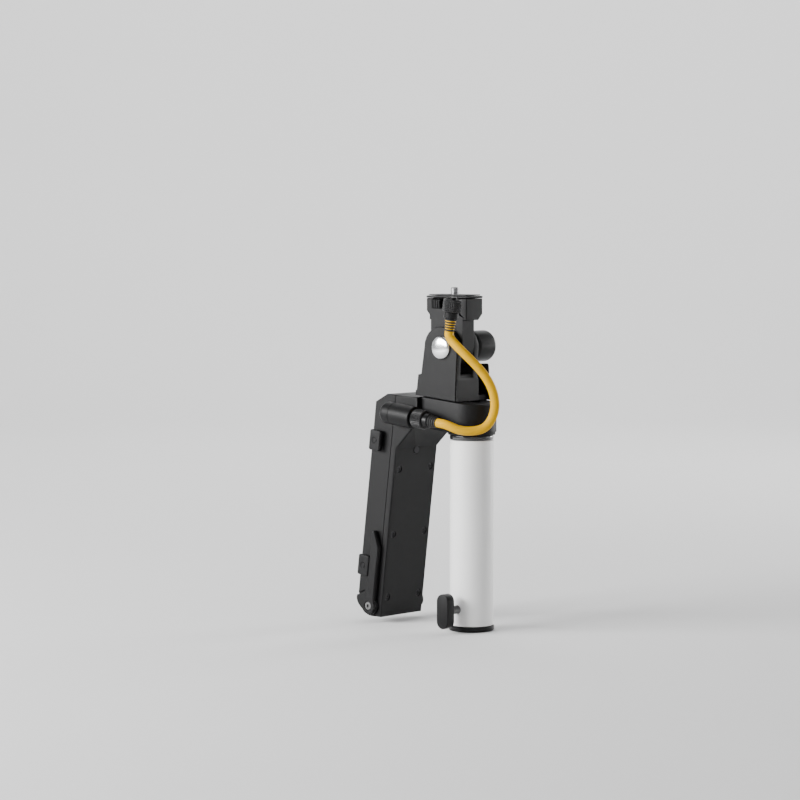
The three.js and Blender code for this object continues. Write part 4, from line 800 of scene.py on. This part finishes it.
dressed(pod, moulded, "moulded", "handle", "socket_pod")
painted(dark_steel, "dc_socket")


# Plugs: at each end of the lead a knurled nut turns on a plug body, with a ribbed relief behind it.
# The nuts are black nylon; the reliefs are soft, and yellow shows between the ribs of the upper one.
def yellow_jacket():
    finish = Finish("yellow_jacket")
    tone = finish.mixed(finish.noise(140), (0.54, 0.295, 0.0, 1), (0.64, 0.352, 0.0, 1))
    sheen = finish.noise(300) * 0.10 + 0.36
    return finish.shade(Base_Color=tone, Roughness=sheen, Specular_IOR_Level=0.08,
                        Normal=finish.bumped(finish.noise(700, 2.0), 0.1, 0.0002))


def worn_nylon():
    finish = Finish("worn_nylon")
    specks = finish.noise(1500, 4.0, 0.7) > 0.6
    tone = finish.mixed(specks, (0.008, 0.008, 0.0085, 1), (0.06, 0.06, 0.058, 1))
    return finish.shade(Base_Color=tone, Roughness=finish.noise(260) * 0.14 + 0.36, Specular_IOR_Level=0.3)


nut_radius = 0.0071
nut_knurl = 0.0005
nut_edge = 0.0005
nut_wall = 0.0032
nut_thread = 0.0055
nut_core = 0.0047
nut_sides = 32
nut_rows = 7
nut_band = 0.0068
shell_radius = 0.0056
shell_round = 0.0008
shell_edge = 0.0004
core_radius = 0.0044
flange_radius = 0.0052
flange_back = -0.0078
body_front = -0.0063
barrel_radius = 0.00275
barrel_tip = -0.0015
part_gap = 0.0003
relief_front_radius = 0.005
relief_back_radius = 0.0041
relief_lap = 0.0006
relief_sink = 0.0011
rib_share = 0.62
rib_round = 0.0002
rib_edge = 0.0001
yellow = yellow_jacket()
nylon = worn_nylon()


def knurled(piece, low, high, height):
    """Raises a small pyramid on every face of a turned band."""
    picked(piece, lambda at: at.xy.length > nut_band and low - 1e-5 < at.z < high + 1e-5)
    bpy.ops.mesh.select_mode(type="FACE")
    bpy.ops.mesh.poke(offset=height)
    bpy.ops.mesh.select_mode(type="VERT")
    bpy.ops.object.mode_set(mode="OBJECT")
    bpy.ops.object.shade_smooth_by_angle(angle=math.radians(20))


def plug(end, nut_front, nut_length, shell_length, relief_length, ribs, turn, place, body_name):
    """A nut, a plug body and a strain relief, built along Z with the plug's tip up."""
    nut_back = nut_front - nut_length
    rows = [(nut_radius, nut_back + nut_edge + (nut_length - 2 * nut_edge) * i / nut_rows)
            for i in range(nut_rows + 1)]
    nut = turned(f"{end}_nut_knurled", [(nut_core, nut_back), (nut_radius - nut_edge, nut_back)] + rows + [
        (nut_radius - nut_edge, nut_front), (nut_thread, nut_front), (nut_thread, nut_back + nut_wall),
        (nut_core, nut_back + nut_wall), (nut_core, nut_back)], sides=nut_sides, ring=True)
    knurled(nut, nut_back + nut_edge, nut_front - nut_edge, nut_knurl)
    laid(nut, turn, place)
    dressed(nut, nylon, "satin_black", f"{end}_nut", f"{end}_plug_nut")

    shell_front = nut_back - part_gap
    shell_back = shell_front - shell_length
    shell = turned(f"{end}_plug_turned", [(relief_front_radius - relief_lap, shell_back)]
                   + arc(shell_radius - shell_round, shell_back + shell_round, shell_round, -90, 0, steps=4)
                   + [(shell_radius, shell_front - shell_edge), (shell_radius - shell_edge, shell_front),
                      (core_radius, shell_front), (core_radius, flange_back), (flange_radius, flange_back),
                      (flange_radius, body_front), (barrel_radius, body_front),
                      (barrel_radius, barrel_tip - shell_edge), (barrel_radius - shell_edge, barrel_tip)],
                   sides=72)
    laid(shell, turn, place)
    dressed(shell, black, "satin_black", body_name, f"{end}_plug_body")

    relief_front = shell_back - part_gap
    relief_back = relief_front - relief_length
    pitch = relief_length / (ribs + rib_share)
    rib = pitch * rib_share
    slope = (relief_front_radius - relief_back_radius) / relief_length
    stations = []
    for i in range(ribs + 1):
        low = relief_back + i * pitch
        radius = relief_back_radius + slope * (low - relief_back)
        wider = radius + slope * rib
        high = low + rib
        stations += [(radius - relief_sink, low), (radius - rib_round, low + rib_edge),
                     (radius, low + rib * 0.3), (wider, low + rib * 0.7),
                     (wider - rib_round, high - rib_edge), (wider - relief_sink, high)]
    relief = turned(f"{end}_relief_ribbed", stations, sides=56)
    laid(relief, turn, place)
    dressed(relief, rubber, "rubber", body_name, f"{end}_strain_relief")
    return [nut, shell, relief]


upper_turn = (0, math.radians(-8.7), 0)
upper_place = (-0.006, 0.0282, 0.2606)
upper_relief = 0.0092
upper_ribs = 4
lower_plug = plug("lower", nut_front=-0.001, nut_length=0.0105, shell_length=0.0048, relief_length=0.0071,
                  ribs=3, turn=pod_turn, place=pod_mouth, body_name="handle")
upper_plug = plug("upper", nut_front=-0.0032, nut_length=0.0096, shell_length=0.0049,
                  relief_length=upper_relief, ribs=upper_ribs, turn=upper_turn, place=upper_place,
                  body_name="head")

band_back = -0.0275
band_pitch = upper_relief / (upper_ribs + rib_share)
band_length = band_pitch * (1 - rib_share)
band_sink = 0.0006
band_depth = 0.0007
band_gap = 0.00003
relief_taper = relief_front_radius - relief_back_radius
for i in range(upper_ribs):
    low = band_back + i * band_pitch + band_pitch * rib_share
    outer = relief_back_radius + relief_taper * (low - band_back) / upper_relief - band_sink
    inner = outer - band_depth
    start = low + band_gap
    end = low + band_length - band_gap
    band = turned(f"upper_relief_band_{i + 1}", [(inner, start), (outer, start), (outer, end), (inner, end),
                                                 (inner, start)], sides=56, ring=True)
    laid(band, upper_turn, upper_place)
    dressed(band, yellow, "yellow_jacket", "head")
    upper_plug.append(band)


# Power lead: a round cable with a satin yellow jacket, moulded into a plug at each end.
# It leaves the lower plug, hangs in a bow behind the grip and rises to the plug under the light.
lead_route = [
    (0.0056, 0.033, 0.1627), (0.0016, 0.033, 0.1623), (-0.0042, 0.0319, 0.1612),
    (-0.0116, 0.0278, 0.1574), (-0.0186, 0.0215, 0.1569), (-0.025, 0.0144, 0.1586),
    (-0.0286, 0.010, 0.1652), (-0.0312, 0.0084, 0.1748), (-0.0311, 0.010, 0.1852),
    (-0.0286, 0.0136, 0.1956), (-0.0236, 0.019, 0.2052), (-0.0167, 0.0238, 0.2136),
    (-0.0099, 0.0266, 0.2204), (-0.0049, 0.0272, 0.2246), (-0.0022, 0.0279, 0.2278),
    (-0.00141, 0.0282, 0.23065), (-0.00179, 0.0282, 0.23312),
]
lead_radius = 0.0035
steps_per_span = 10
easing_passes = 40


def smooth_line(points, steps):
    """Points of a Catmull-Rom line through the route, close together."""
    line = []
    for i in range(len(points) - 1):
        a, b, c, d = (Vector(points[max(0, min(len(points) - 1, i + k))]) for k in (-1, 0, 1, 2))
        for step in range(steps):
            t = step / steps
            line.append(0.5 * (2 * b + (c - a) * t + (2 * a - 5 * b + 4 * c - d) * t ** 2
                               + (3 * b - a - 3 * c + d) * t ** 3))
    return line + [Vector(points[-1])]


def relaxed(line, passes):
    """The line with its bends eased; its ends stay where the plugs hold them."""
    for _ in range(passes):
        eased = [(a + 2 * b + c) / 4 for a, b, c in zip(line[1:], line[2:], line[3:-1])]
        line = line[:2] + eased + line[-2:]
    return line


lead_line = relaxed(smooth_line(lead_route, steps_per_span), easing_passes)
lead_length = sum((b - a).length for a, b in zip(lead_line, lead_line[1:]))
lead_curve = bpy.data.curves.new("power_lead", "CURVE")
lead_curve.dimensions = "3D"
lead_curve.bevel_depth = lead_radius
lead_curve.bevel_resolution = 8
lead_curve.use_fill_caps = True
spline = lead_curve.splines.new("POLY")
spline.points.add(len(lead_line) - 1)
for point, at in zip(spline.points, lead_line):
    point.co = (*at, 1)
lead = bpy.data.objects.new("power_lead", lead_curve)
bpy.context.scene.collection.objects.link(lead)
chosen(lead)
bpy.ops.object.convert(target="MESH")
lead = bpy.context.object
bpy.ops.object.shade_smooth_by_angle(angle=math.radians(50))
lead.data.materials.clear()
lead.data.materials.append(yellow)
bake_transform(lead)
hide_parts("dc_cable")
